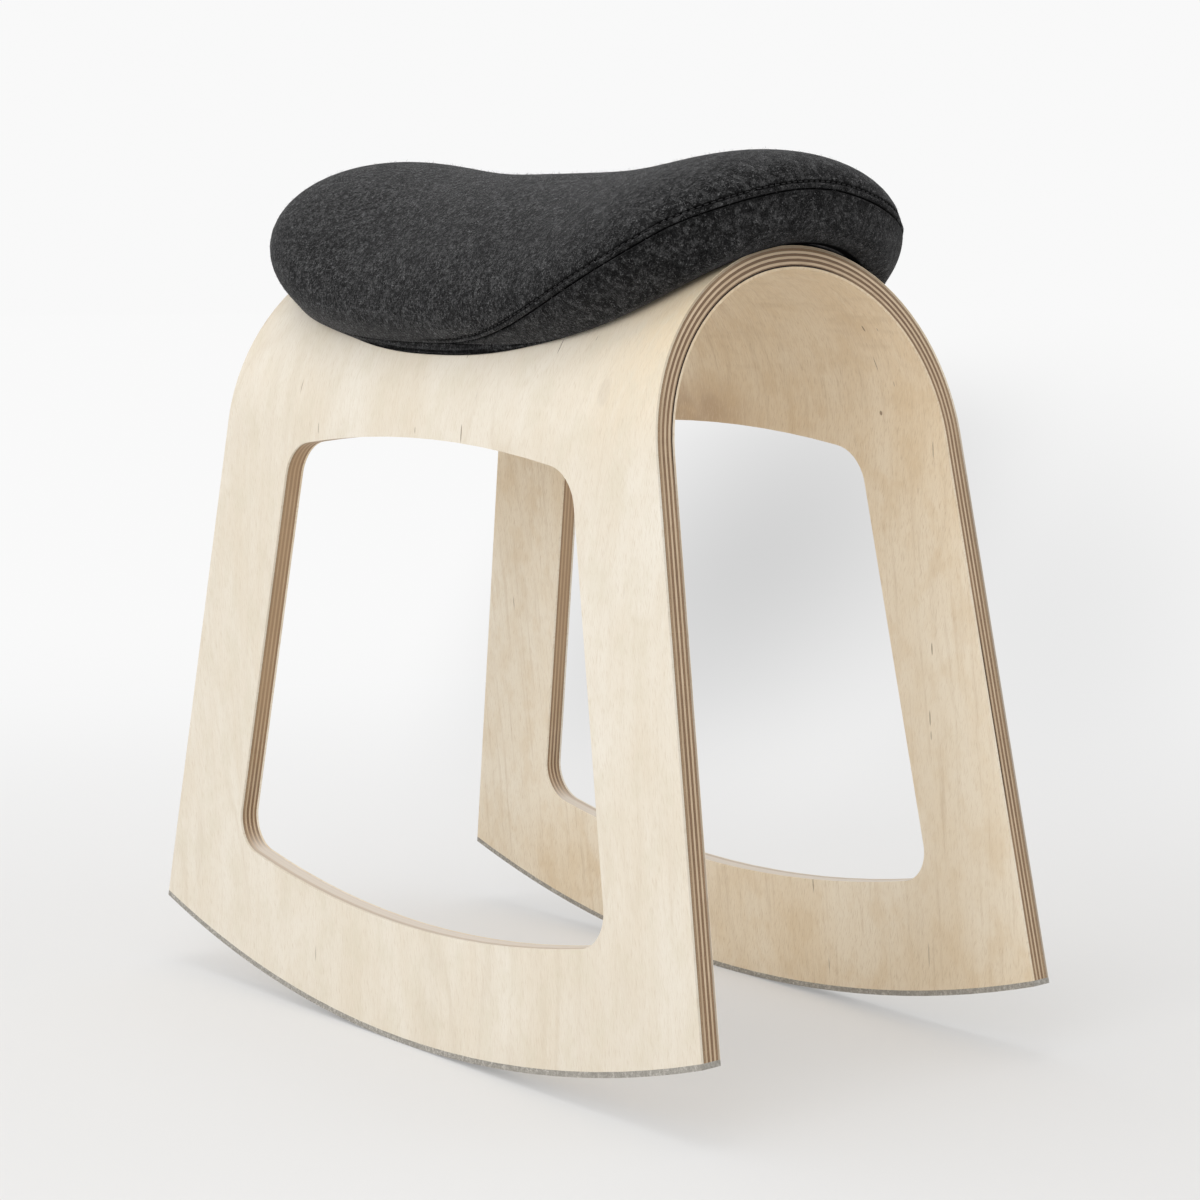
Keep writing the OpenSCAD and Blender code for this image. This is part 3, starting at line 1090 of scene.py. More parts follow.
class Meridians:
    """Lines down the cushion's skin, from the top to the hem, read by length."""

    ease_mm = (-1.2, -0.8, -0.4, 0.0, 0.4, 0.8, 1.2)
    tiny = 1e-14

    def __init__(self, form: CushionForm, flat: Array, closed: bool) -> None:
        """Measure the lines.

        Args:
            form: the cushion's form.
            flat: points of each line, laid flat.
            closed: True if the lines go right round.
        """
        self.points = form.lay(flat)
        step = np.linalg.norm(np.diff(self.points, axis=1), axis=2)
        self.length = np.concatenate([np.zeros((len(flat), 1)), np.cumsum(step, 1)], 1)
        self.total = self.length[:, -1]
        x, y, z = np.moveaxis(flat, -1, 0)
        self.seam = self._crossings(z - form.seam_height(x, y))
        self.turn = self._crossings(z - form.turn_height(y))
        if closed:
            across = np.roll(self.points, -1, 0) - np.roll(self.points, 1, 0)
        else:
            across = np.gradient(self.points, axis=0)
        self.normal = np.cross(np.gradient(self.points, axis=1), across)
        size = np.linalg.norm(self.normal, axis=2, keepdims=True)
        self.normal = np.where(size > self.tiny, self.normal / np.maximum(size, self.tiny), UP)
        self.normal[:, 0] = UP

    def _crossings(self, values: Array) -> Array:
        """Find where a value that falls down each line first passes zero.

        Args:
            values: the values, line by line.

        Returns:
            The lengths down the lines.
        """
        found = []
        for value, length in zip(values, self.length):
            at = int(np.argmax(value < 0))
            share = value[at - 1] / (value[at - 1] - value[at])
            found.append(length[at - 1] * (1 - share) + length[at] * share)
        return np.array(found)

    def at(self, length: Array, lines: Array | None = None) -> tuple:
        """Points and outward normals at a length down each line.

        Args:
            length: one row of lengths for each line.
            lines: which lines, or all of them.

        Returns:
            The points and the normals, line by line.
        """
        chosen = range(len(length)) if lines is None else lines
        point, normal = np.zeros((2, *length.shape, 3))
        for i, (row, line) in enumerate(zip(length, chosen)):
            known = self.length[line]
            for axis in range(3):
                point[i, :, axis] = np.interp(row, known, self.points[line, :, axis])
                for slip in self.ease_mm:
                    near = row + slip * MM
                    normal[i, :, axis] += np.interp(near, known, self.normal[line, :, axis])
        normal /= np.linalg.norm(normal, axis=2, keepdims=True)
        return point, normal


@dataclass
class CoverPuff:
    """How the stuffed cover swells between its seams, from a cloth simulation."""

    form: CushionForm
    shrink: float = 0.0011
    voxel: float = 0.0055
    pressure: float = 3.0
    steps: int = 18
    cap: float = 0.0032
    held_h: float = 0.0055
    held_by_seam: float = 0.007
    firm: float = 0.5
    fade_h: float = 0.012
    reach: float = 0.010
    neighbours: int = 14
    tree: KDTree | None = None
    move: Array | None = None

    def run(self) -> "CoverPuff":
        """Simulate a coarse cover and keep how far each point moved.

        Returns: The same object.
        """
        runs = [packed(np.linspace(0.02, 1, 40)), 1 + np.linspace(0, 1, 7)[1:]]
        shares = np.linspace(1, 0, 22)[1:-1]
        runs, inset = np.concatenate(runs), self.shrink
        piece = self.form.block("cover_coarse", step=3.0, runs=runs, shares=shares, inset=inset)
        remesh = piece.modifiers.new("even", "REMESH")
        remesh.mode = "VOXEL"
        remesh.voxel_size = self.voxel
        piece = bake(piece, "cover_coarse")
        start = read(piece.data)
        self._pin(piece, start)
        self.move = self._simulate(piece) - start
        bpy.data.objects.remove(piece)
        far = np.linalg.norm(self.move, axis=1, keepdims=True)
        self.move *= np.minimum(1, self.cap / np.maximum(far, 1e-9))
        self.tree = tree_of(start)
        LOG.info("cover simulated: %d points, mean move %.2f mm", len(start), far.mean() / MM)
        return self

    def _pin(self, piece: Object, points: Array) -> None:
        """Hold the underside and the seams.

        Args:
            piece: the coarse cover.
            points: its points.
        """
        seams = tree_of(self.form.seams())
        group = piece.vertex_groups.new(name="held")
        for i, (point, height) in enumerate(zip(points, self.form.height(points))):
            near = seams.find(Vector(point))[2] / self.held_by_seam
            group.add([i], 1.0 if height < self.held_h else max(0.0, 1 - near), "REPLACE")

    def _simulate(self, piece: Object) -> Array:
        """Blow the cover up.

        Args:
            piece: the coarse cover, pinned.

        Returns:
            Where its points end.
        """
        cloth = piece.modifiers.new("cloth", "CLOTH")
        settings = {
            "quality": 6,
            "mass": 0.35,
            "tension_stiffness": 22,
            "compression_stiffness": 22,
            "shear_stiffness": 8,
            "bending_stiffness": 6,
            "use_pressure": True,
            "uniform_pressure_force": self.pressure,
            "vertex_group_mass": "held",
        }
        for name, value in settings.items():
            setattr(cloth.settings, name, value)
        cloth.settings.effector_weights.gravity = 0
        cloth.point_cache.frame_start = 1
        cloth.point_cache.frame_end = self.steps
        scene = bpy.context.scene
        for step in range(1, self.steps + 1):
            scene.frame_set(step)
        graph = bpy.context.evaluated_depsgraph_get()
        end = read(piece.evaluated_get(graph).data)
        scene.frame_set(1)
        return end

    def swell(self, points: Array, normal: Array) -> Array:
        """Points of the form moved to where the stuffed cover lies.

        Args:
            points: points on the form's skin.
            normal: the way out at each.

        Returns:
            The moved points. The hem stays where it is.
        """
        if self.tree is None:
            return points
        move = np.zeros_like(points).reshape(-1, 3)
        for i, point in enumerate(points.reshape(-1, 3)):
            _, numbers, far = zip(*self.tree.find_n(Vector(point), self.neighbours))
            weight = np.array([max(0.0, 1 - (d / self.reach) ** 2) ** 2 + 1e-6 for d in far])
            move[i] = weight @ self.move[list(numbers)] / weight.sum()
        above = self.form.height(points) - self.form.turn_up_h
        share = self.firm * np.clip(above / self.fade_h, 0, 1)[..., None]
        return points + (move.reshape(points.shape) - normal * self.shrink) * share


@dataclass
class CushionCover:
    """The sewn felt cover: three panels with rolled edges, and the block of foam inside.

    Fields whose names end in _mm are in millimetres. Painted shade tells how dark the felt is
    painted at its seams, on the gusset and by the hem; a bell of it or of the felt's height goes
    by the distance from a seam.
    """

    form: CushionForm
    puff: CoverPuff
    felt: Material
    edge_rows_mm: tuple[float, ...] = (
        *(14, 12, 10, 8.6, 7.4, 6.4, 5.6, 5.0, 4.5, 4.1, 3.8, 3.5, 3.1, 2.6, 2.0),
        *(1.5, 1.1, 0.8, 0.5, 0.3, 0.15, 0.0),
    )
    stitch_mm: float = 3.9
    roll_mm: float = 2.1
    roll_w_mm: float = 1.25
    # painted shade beside a sewn edge: its width and its darkest
    shade_w_mm: float = 0.95
    shade_most: float = 0.88
    groove: Bell = Bell(0.85 * MM, stitch_mm, 0.80)
    ridge: Bell = Bell(0.35 * MM, 2.0, 1.1)
    gather: Bell = Bell(1.0, 4.5, 4.5)
    # painted shade: at the stitching and the seam, on the gusset, along the turned-up edge and at
    # the hem
    stitch_shade: Bell = Bell(0.97, stitch_mm, 1.0)
    seam_shade: Bell = Bell(0.30, 0.0, 2.6)
    under_seam_shade: Bell = Bell(0.28, 0.0, 2.8)
    gusset_shade: float = 0.15
    fold_shade: float = 0.62
    fold_fade_mm: float = 9.0
    fold_power: float = 1.6
    hem_shade: float = 0.85
    hem_rise: float = 0.6
    hem_fade_mm: float = 4.0
    hem_shade_most: float = 0.92
    pucker_mm: float = 0.20
    pucker_waves: tuple[float, float, float] = (0.0125, 0.041, 0.067)
    gusset_least_mm: float = 0.25
    foam_gap_mm: float = 1.4
    sewn_to: float = 0.012
    sewn_fade: float = 0.03
    side_from: float = -0.075
    side_fade: float = 0.05
    hem_corner: float = 0.985
    lines_round: int = 420
    top_rows: int = 60
    gusset_rows: int = 30
    base_rows: int = 14
    base_power: float = 1.4

    def __post_init__(self) -> None:
        """Work out what all the panels need."""
        form = self.form
        self.shown: dict[Panel, Array] = {}
        self.bearing = round_about(self.lines_round)
        self.lines = form.down(self.bearing)
        y = form.widest(self.bearing)[1][:, None]
        self.front = np.clip((self.sewn_to - y) / self.sewn_fade, 0, 1)
        self.side = np.clip(1 + (y - self.side_from) / self.side_fade, 0, 1)

    def top(self) -> Object:
        """The top panel, from the middle of the seat down to its rolled edge at the seam.

        Returns:
            The panel.
        """
        seam, near = self.lines.seam, np.array(self.edge_rows_mm) * MM
        share = np.linspace(0, 1, self.top_rows)[1:-1]
        rows = np.stack([(seam - near[0]) * s for s in share] + [seam - d for d in near], 1)
        away = seam[:, None] - rows
        groove = (self.groove.at(away) + self._pucker() * self.gather.at(away)) * self.front
        sink = self._roll(away) - self.ridge.at(away) + groove
        # painted shade along the stitching and the seam
        sewn = np.maximum(self.stitch_shade.at(away), self.seam_shade.at(away))
        painted_shade = np.maximum(self._shade_by_edge(away), sewn * self.front)
        return self._panel(Panel.TOP, self._skin(rows, sink), painted_shade)

    def gusset(self) -> Object:
        """The crescent panel round the front, between the seam and the turned-up edge.

        Returns:
            The panel.
        """
        wide = self.lines.turn - self.lines.seam
        chosen = np.where(wide > self.gusset_least_mm * MM)[0]
        seam, wide, side = self.lines.seam[chosen, None], wide[chosen, None], self.side[chosen]
        rows = seam + wide * packed(np.linspace(0, 1, self.gusset_rows))
        under, over = rows - seam, (seam + wide) - rows
        # painted shade: the whole gusset a little darker, more so by the seam and, at the front,
        # towards the turned-up edge
        fold = np.clip(1 - over / (self.fold_fade_mm * MM), 0, 1) ** self.fold_power
        fold = self.fold_shade * fold * (1 - side)
        fold = np.maximum(fold, self.gusset_shade + self.under_seam_shade.at(under))
        painted_shade = np.maximum(self._shade_by_edge(under), np.maximum(self._shade_by_edge(over) * side, fold))
        sink = np.maximum(self._roll(under), self._roll(over) * side)
        return self._panel(Panel.GUSSET, self._skin(rows, sink, chosen), painted_shade)

    def base(self) -> Object:
        """The panel under the cushion, turned up round the side.

        Returns:
            The panel.
        """
        turn, total, side = self.lines.turn[:, None], self.lines.total[:, None], self.side
        rows = turn + (total - turn) * np.linspace(0, 1, self.base_rows) ** self.base_power
        under = rows - turn
        outer, inner = self._skin(rows, self._roll(under) * side)
        by_hem, by_turn = (length / (self.hem_fade_mm * MM) for length in (total - rows, under))
        # painted shade on the base panel: dark by the hem round the sides and back, darkening from
        # the turned-up edge at the front
        sewn, folded = self.hem_shade - self.hem_rise * by_hem, self.fold_shade + by_turn
        shade = np.minimum(sewn * side + folded * (1 - side), self.hem_shade_most)
        painted_shade = np.maximum(self._shade_by_edge(under) * side, shade)
        inner_hem = self.hem_corner
        share = np.concatenate([np.linspace(inner_hem, 0.85, 8), np.linspace(0.8, 0.04, 24)])
        flat = self.form.under(self.bearing[:, None], share)
        raised = flat + UP * self.form.cloth_t
        corner = np.clip((rows - total) / self.form.cloth_t + 1, 0, 1)[..., None]
        corner_in = self.form.lay(raised[:, :1] * np.array([inner_hem, inner_hem, 1.0]))
        inner = inner * (1 - corner) + corner_in * corner
        outer = np.concatenate([outer, self.form.lay(flat)], axis=1)
        inner = np.concatenate([inner, self.form.lay(raised)], axis=1)
        painted_shade = np.concatenate([painted_shade, np.zeros(flat.shape[:2])], axis=1)
        return self._panel(Panel.BASE, (outer, inner), painted_shade)

    def foam(self, finish: Material) -> Object:
        """The block of foam inside the cover.

        Args:
            finish: the foam's finish.

        Returns:
            The block.
        """
        inset = self.form.cloth_t + self.foam_gap_mm * MM
        shares = np.linspace(0.94, 0, 14)[:-1]
        runs = packed(np.linspace(0.03, 1, 26))
        piece = self.form.block("foam_block", step=4.0, runs=runs, shares=shares, inset=inset)
        piece = bake(piece, "foam_block")
        dress(piece, finish)
        return piece

    def hairs(self, panel: Panel, seed: int, finish: Material) -> Object:
        """Loose light fibres on the outer face of a panel that has been built.

        Args:
            panel: the panel.
            seed: what scatters them.
            finish: their finish.

        Returns:
            The fibres.
        """
        name = PANEL_NAMES[panel] + "_hairs"
        bearer = grid(name, self.shown[panel], panel is Panel.TOP)
        return Nap(HAIR_DENSITY[panel], seed).make(name, bearer, finish)

    def _pucker(self) -> Array:
        """How the topstitching gathers the felt.

        Returns:
            How far each line is drawn in, as a column.
        """
        seam = self.lines.at(self.lines.seam[:, None])[0][:, 0]
        place = WHOLE * np.cumsum(np.linalg.norm(np.roll(seam, -1, 0) - seam, axis=1))[:, None]
        short, middle, long = (place / wave for wave in self.pucker_waves)
        gathers = np.sin(short + 1.7 * np.sin(middle)) * (1 + 0.5 * np.sin(long))
        return self.pucker_mm * MM * gathers

    def _roll(self, away: Array) -> Array:
        """How far a sewn edge is drawn in, by the distance from it."""
        return self.roll_mm * MM * np.clip(1 - away / (self.roll_w_mm * MM), 0, 1) ** 2

    def _shade_by_edge(self, away: Array) -> Array:
        """How dark the felt is painted in the seam's shade, by the distance from the seam."""
        return np.clip(1.05 - away / (self.shade_w_mm * MM), 0, self.shade_most)

    def _skin(self, rows: Array, sink: Array, lines: Array | None = None) -> tuple:
        """The two faces of the cloth at some lengths down the skin.

        Args:
            rows: the lengths, line by line.
            sink: how far each point is drawn in.
            lines: which lines, or all of them.

        Returns:
            The outer and the inner points.
        """
        points, normal = self.lines.at(rows, lines)
        outer = self.puff.swell(points, normal) - normal * sink[..., None]
        return outer, outer - normal * self.form.cloth_t

    def _panel(self, panel: Panel, faces: tuple, painted_shade: Array) -> Object:
        """Turn rows of points into a closed panel of felt.

        Args:
            panel: which panel it is.
            faces: its outer and inner points.
            painted_shade: how dark each outer point is painted, as shade at seams and edges.

        Returns:
            The panel; its CAD node is hidden.
        """
        outer, inner = faces
        self.shown[panel] = outer
        rows, shade = (outer, inner[:, ::-1]), (painted_shade, np.zeros(painted_shade.shape))
        if panel is Panel.BASE:
            rows, shade = rows[::-1], shade[::-1]
        points = np.concatenate(rows, axis=1)
        if panel is Panel.GUSSET:
            piece = tube(PANEL_NAMES[panel], points)
        else:
            poles = points[:, 0].mean(0), points[:, -1].mean(0)
            piece = grid(PANEL_NAMES[panel], points, True, poles)
        face_out(piece)
        dress(piece, self.felt)
        value = np.zeros(len(piece.data.vertices), np.float32)
        value[: painted_shade.size * 2] = np.concatenate(shade, axis=1).ravel()
        piece.data.attributes.new("painted_shade", "FLOAT", "POINT").data.foreach_set("value", value)
        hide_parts(panel.value)
        return piece


class GeoTree:
    """A Geometry Nodes tree with named inputs."""

    def __init__(self, name: str, inputs: dict[str, float | int]) -> None:
        """Start a tree.

        Args:
            name: the tree's name.
            inputs: the named inputs and their values; whole numbers make whole inputs.
        """
        self.inputs = inputs
        self.tree = bpy.data.node_groups.new(name, "GeometryNodeTree")
        face = self.tree.interface
        for side in ("OUTPUT", "INPUT"):
            face.new_socket("Geometry", in_out=side, socket_type="NodeSocketGeometry")
        for key, value in inputs.items():
            kind = "NodeSocketInt" if isinstance(value, int) else "NodeSocketFloat"
            face.new_socket(key, in_out="INPUT", socket_type=kind)
        self.given = self.tree.nodes.new("NodeGroupInput").outputs
        self.exit = self.tree.nodes.new("NodeGroupOutput").inputs

    def node(self, kind: str, inputs: dict, **settings: str) -> NodeOutputs:
        """Add a node.

        Args:
            kind: its type.
            inputs: values or sockets, by the input's name or number.
            settings: attributes to set first.

        Returns:
            The node's outputs.
        """
        made = self.tree.nodes.new(kind)
        for key, value in settings.items():
            setattr(made, key, value)
        for key, value in inputs.items():
            if isinstance(value, NodeSocket):
                self.tree.links.new(value, made.inputs[key])
            else:
                made.inputs[key].default_value = value
        return made.outputs

    def run(
        self, bearer: Object, parts: tuple[NodeSocket, ...], finish: Material, name: str
    ) -> Object:
        """End the tree in sized shapes on points, run it on an object and bake the result.

        Args:
            bearer: the object, which is removed.
            parts: the points, the shape on each, its rotation and its length. Its thickness
                is the tree's Thickness.
            finish: the material.
            name: the name of the baked piece.

        Returns:
            The baked piece.
        """
        points, shape, turn, length = parts
        thick = self.given["Thickness"]
        size = self.node("ShaderNodeCombineXYZ", {0: thick, 1: thick, 2: length})[0]
        inputs = {"Points": points, "Instance": shape, "Rotation": turn, "Scale": size}
        placed = self.node("GeometryNodeInstanceOnPoints", inputs)
        real = self.node("GeometryNodeRealizeInstances", {0: placed["Instances"]})
        inputs = {"Geometry": real["Geometry"], "Material": finish}
        dressed = self.node("GeometryNodeSetMaterial", inputs)
        self.tree.links.new(dressed["Geometry"], self.exit["Geometry"])
        modifier = bearer.modifiers.new(name, "NODES")
        modifier.node_group = self.tree
        for item in self.tree.interface.items_tree:
            if item.name in self.inputs:
                modifier[item.identifier] = self.inputs[item.name]
        return bake(bearer, name)


@dataclass
class Topstitching:
    """A row of stitches beside the front seam, made by Geometry Nodes."""

    form: CushionForm
    puff: CoverPuff
    away: float = CushionCover.stitch_mm * MM
    length: float = 0.0029
    pitch: float = 0.0038
    thick: float = 0.00062
    lift: float = -0.00062
    overrun: float = 0.02
    path_steps: int = 700

    def make(self, thread: Material) -> Object:
        """Sew the row.

        Args:
            thread: the thread's finish.

        Returns:
            The stitches, as one mesh.
        """
        ends = np.pi - self.overrun, WHOLE + self.overrun
        lines = self.form.down(np.linspace(*ends, self.path_steps), False)
        point, normal = lines.at((lines.seam - self.away)[:, None])
        point = (self.puff.swell(point, normal) + normal * self.lift)[:, 0]
        edges = [(i, i + 1) for i in range(len(point) - 1)]
        bearer = mesh_of("stitch_path", point, edges, [])
        inputs = {"Stitch Length": self.length, "Pitch": self.pitch, "Thickness": self.thick}
        tree = GeoTree("stitch_row", inputs)
        curve = tree.node("GeometryNodeMeshToCurve", {"Mesh": tree.given["Geometry"]})
        inputs = {"Curve": curve["Curve"], "Length": tree.given["Pitch"]}
        points = tree.node("GeometryNodeCurveToPoints", inputs, mode="LENGTH")
        inputs = {"Segments": 8, "Rings": 6, "Radius": 0.5}
        ball = tree.node("GeometryNodeMeshUVSphere", inputs)
        inputs = {"Vector": points["Tangent"]}
        turn = tree.node("FunctionNodeAlignRotationToVector", inputs, axis="Z")
        parts = points["Points"], ball["Mesh"], turn["Rotation"], tree.given["Stitch Length"]
        return tree.run(bearer, parts, thread, "topstitching")


@dataclass
class Nap:
    """Loose fibres that stand off a felt surface, made by Geometry Nodes."""

    density: float
    seed: int
    length: float = 0.0021
    thick: float = 0.00012
    lean: float = 1.45
    spin: float = 6.28
    shortest: float = 0.45

    def make(self, name: str, bearer: Object, finish: Material) -> Object:
        """Grow the fibres: a thin cone on each scattered point, turned and sized at random.

        Args:
            name: the piece's name.
            bearer: a copy of the surface that they grow on, which is removed.
            finish: their finish.

        Returns:
            The fibres, as one mesh.
        """
        inputs = {
            "Density": self.density,
            "Fibre Length": self.length,
            "Thickness": self.thick,
            "Seed": self.seed,
        }
        tree = GeoTree("felt_nap", inputs)
        seed = tree.given["Seed"]
        inputs = {"Mesh": tree.given["Geometry"], "Density": tree.given["Density"], "Seed": seed}
        kind = "GeometryNodeDistributePointsOnFaces"
        spread = tree.node(kind, inputs, distribute_method="RANDOM")
        inputs = {"Vertices": 3, "Side Segments": 2, "Radius Top": 0.15, "Radius Bottom": 0.5}
        cone = tree.node("GeometryNodeMeshCone", {**inputs, "Depth": 1.0}, fill_type="NONE")
        low, high = (-self.lean, -self.lean, 0.0), (self.lean, self.lean, self.spin)
        inputs = {0: low, 1: high, "Seed": seed}
        lean = tree.node("FunctionNodeRandomValue", inputs, data_type="FLOAT_VECTOR")
        inputs = {"Rotation": spread["Rotation"], "Rotate By": lean["Value"]}
        turn = tree.node("FunctionNodeRotateRotation", inputs, rotation_space="LOCAL")
        inputs = {2: self.shortest, 3: 1.0}
        grow = tree.node("FunctionNodeRandomValue", inputs, data_type="FLOAT")
        inputs = {0: grow[1], 1: tree.given["Fibre Length"]}
        long = tree.node("ShaderNodeMath", inputs, operation="MULTIPLY")
        parts = spread["Points"], cone["Mesh"], turn["Rotation"], long["Value"]
        return tree.run(bearer, parts, finish, name)


# Shell -------------------------------------------------------------------------------------


@dataclass(frozen=True)
class Shell:
    """The bent plywood and its felt strips, which keep their CAD nodes."""

    plywood: Plywood
    edge_tones: tuple[tuple[Colour, Colour], ...] = (
        ((0.42, 0.290, 0.172), (0.20, 0.122, 0.066)),
        ((0.60, 0.455, 0.305), (0.40, 0.280, 0.170)),
        *(
            ((0.31, 0.190, 0.103), (0.15, 0.086, 0.045)),
            ((0.70, 0.545, 0.375), (0.46, 0.325, 0.200)),
        )
        * 2,
        ((0.36, 0.230, 0.130), (0.18, 0.108, 0.058)),
    )
    outer_nicks: tuple[Nick, ...] = (
        Nick(-0.1308, -0.1440, 0.0180, 0.0110, 0.10),
        Nick(-0.1574, 0.0068, 0.0042, 0.0008, 0.6),
        Nick(-0.1572, -0.0340, 0.0115, 0.0009, 0.9),
        Nick(-0.1608, 0.0974, 0.0075, 0.0008, 0.55),
        Nick(-0.1075, -0.0978, 0.0105, 0.0007, 0.75),
        Nick(-0.1150, -0.0251, 0.0048, 0.0007, 0.60),
        Nick(-0.1019, -0.1230, 0.0040, 0.0006, 0.50),
    )
    inner_nicks: tuple[Nick, ...] = (
        Nick(0.0903, -0.1524, 0.0055, 0.0014, 0.75),
        Nick(0.0908, -0.1624, 0.0030, 0.0009, 0.45),
        Nick(0.1164, -0.1487, 0.0100, 0.0008, 0.60),
        Nick(0.1293, -0.1579, 0.0040, 0.0008, 0.45),
        Nick(0.1482, -0.1441, 0.0035, 0.0022, 0.75),
        Nick(0.1675, -0.1810, 0.0110, 0.0009, 0.6),
        Nick(0.2748, -0.1755, 0.0080, 0.0010, 0.8),
        Nick(0.3129, -0.1724, 0.0100, 0.0010, 0.7),
        Nick(0.3225, -0.1728, 0.0060, 0.0010, 0.5),
        Nick(0.4461, -0.1657, 0.0160, 0.0009, 0.4),
    )
    outer: BirchFace = BirchFace(
        "birch_outer",
        (0.812, 0.755, 0.655),
        (0.735, 0.645, 0.510),
        outer_nicks,
        painted_front_shade=0.80,
        painted_cushion_shadow=0.62,
    )
    inner: BirchFace = BirchFace(
        "birch_inner",
        (0.845, 0.745, 0.590),
        (0.750, 0.600, 0.405),
        inner_nicks,
        inside=True,
        slip=5.7,
        lean=0.005,
        curl=0.42,
        painted_crown_warmth=0.55,
        figure=2.1,
        streaky=0.46,
        painted_leg_light=0.34,
        painted_crown_shade=0.70,
        fibre=(0.57, 0.43, 0.28),
        tan=(0.70, 0.49, 0.28),
        cloudy=(0.71, 0.555, 0.365),
        painted_front_shade=0.25,
    )
    felt: WoolFelt = WoolFelt(
        "rocker_felt",
        dark=(0.33, 0.31, 0.275),
        mid=(0.62, 0.59, 0.54),
        light=(0.74, 0.71, 0.66),
        mottle=900.0,
        sheen=0.0,
    )

    def dress(self) -> None:
        """Give each veneer and strip its finish."""
        self._give(self.outer.make(self.plywood), "outer_face_veneer")
        self._give(self.inner.make(self.plywood), "inner_face_veneer")
        for number, tones in enumerate(self.edge_tones, start=1):
            grain = Grain.ACROSS if number % 2 else Grain.ALONG
            edge = EdgeVeneer(f"edge_{number}", number, grain, *tones)
            self._give(edge.make(self.plywood), f"core_veneer_{number}")
        self._give(self.felt.make(), "left_felt_strip", "right_felt_strip")
        tapes = (f"{side}_{half}_strip" for side in ("left", "right") for half in ("hook", "loop"))
        self._give(WovenTape("fastening_tape").make(), *tapes)

    @staticmethod
    def _give(material: Material, *nodes: str) -> None:
        """Give CAD nodes a material.

        Args:
            material: the material.
            nodes: the nodes' names.
        """
        for node in nodes:
            dress(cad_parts[node], material)
            LOG.info("%s: CAD node in %s", node, material.name)


# Studio ------------------------------------------------------------------------------------


@dataclass(frozen=True)
class Lamp:
    """A soft box."""

    name: str
    at: tuple[float, float, float]
    aim: tuple[float, float, float]
    size: float
    power: float

    def hang(self) -> None:
        """Put the lamp in the scene."""
        data = bpy.data.lights.new(self.name, "AREA")
        data.shape = "SQUARE"
        data.size = self.size
        data.energy = self.power
        made = put(self.name, data)
        made.location = self.at
        made.rotation_mode = "QUATERNION"
        made.rotation_quaternion = (Vector(self.aim) - Vector(self.at)).to_track_quat("-Z", "Y")


@dataclass(frozen=True)
class Viewpoint:
    """The photograph's camera, from its calibration."""

    at: tuple[float, float, float] = (-1.0073, -1.2348, 0.4355)
    yaw: float = math.radians(39.65)
    pitch: float = math.radians(-7.333)
    roll: float = math.radians(-0.309)
    focal_px: float = 2880.9
    width_px: int = 1200
    sensor_mm: float = 36.0

    def place(self) -> None:
        """Put the camera in the scene."""
        data = bpy.data.cameras.new("camera")
        data.sensor_width = self.sensor_mm
        data.lens = self.focal_px / self.width_px * self.sensor_mm
        data.clip_start, data.clip_end = 0.05, 60.0
        camera = put("camera", data)
        sine, cosine = math.sin(self.yaw), math.cos(self.yaw)
        flat = math.cos(self.pitch)
        ahead = Vector((sine * flat, cosine * flat, math.sin(self.pitch)))
        right = Vector((cosine, -sine, 0.0))
        up = right.cross(ahead)
        level_right = right * math.cos(self.roll) + up * math.sin(self.roll)
        level_up = up * math.cos(self.roll) - right * math.sin(self.roll)
        axes = Matrix((level_right, level_up, -ahead)).transposed().to_4x4()
        axes.translation = Vector(self.at)
        camera.matrix_world = axes
        bpy.context.scene.camera = camera


@dataclass(frozen=True)
class Shade:
    """A soft shade on the backdrop.

    Its places are aside, from left to right as seen from the camera's place, and near, which is
    one over the distance from there. It comes nearer towards the left by its lean.
    """

    middle: tuple[float, float]
    size: tuple[float, float]
    depth: float
    lean: float = 0.0

    def at(self, aside: Sock, near: Sock) -> Sock:
        """How dark the shade is.

        Args:
            aside: the place from left to right.
            near: one over the distance.

        Returns:
            Its depth in the middle, fading to 0.
        """
        a = (aside - self.middle[0]) / self.size[0]
        b = (near - self.middle[1] + (aside - self.middle[0]) * self.lean) / self.size[1]
        return (a * a + b * b).root().fall(0.0, 1.7) * self.depth


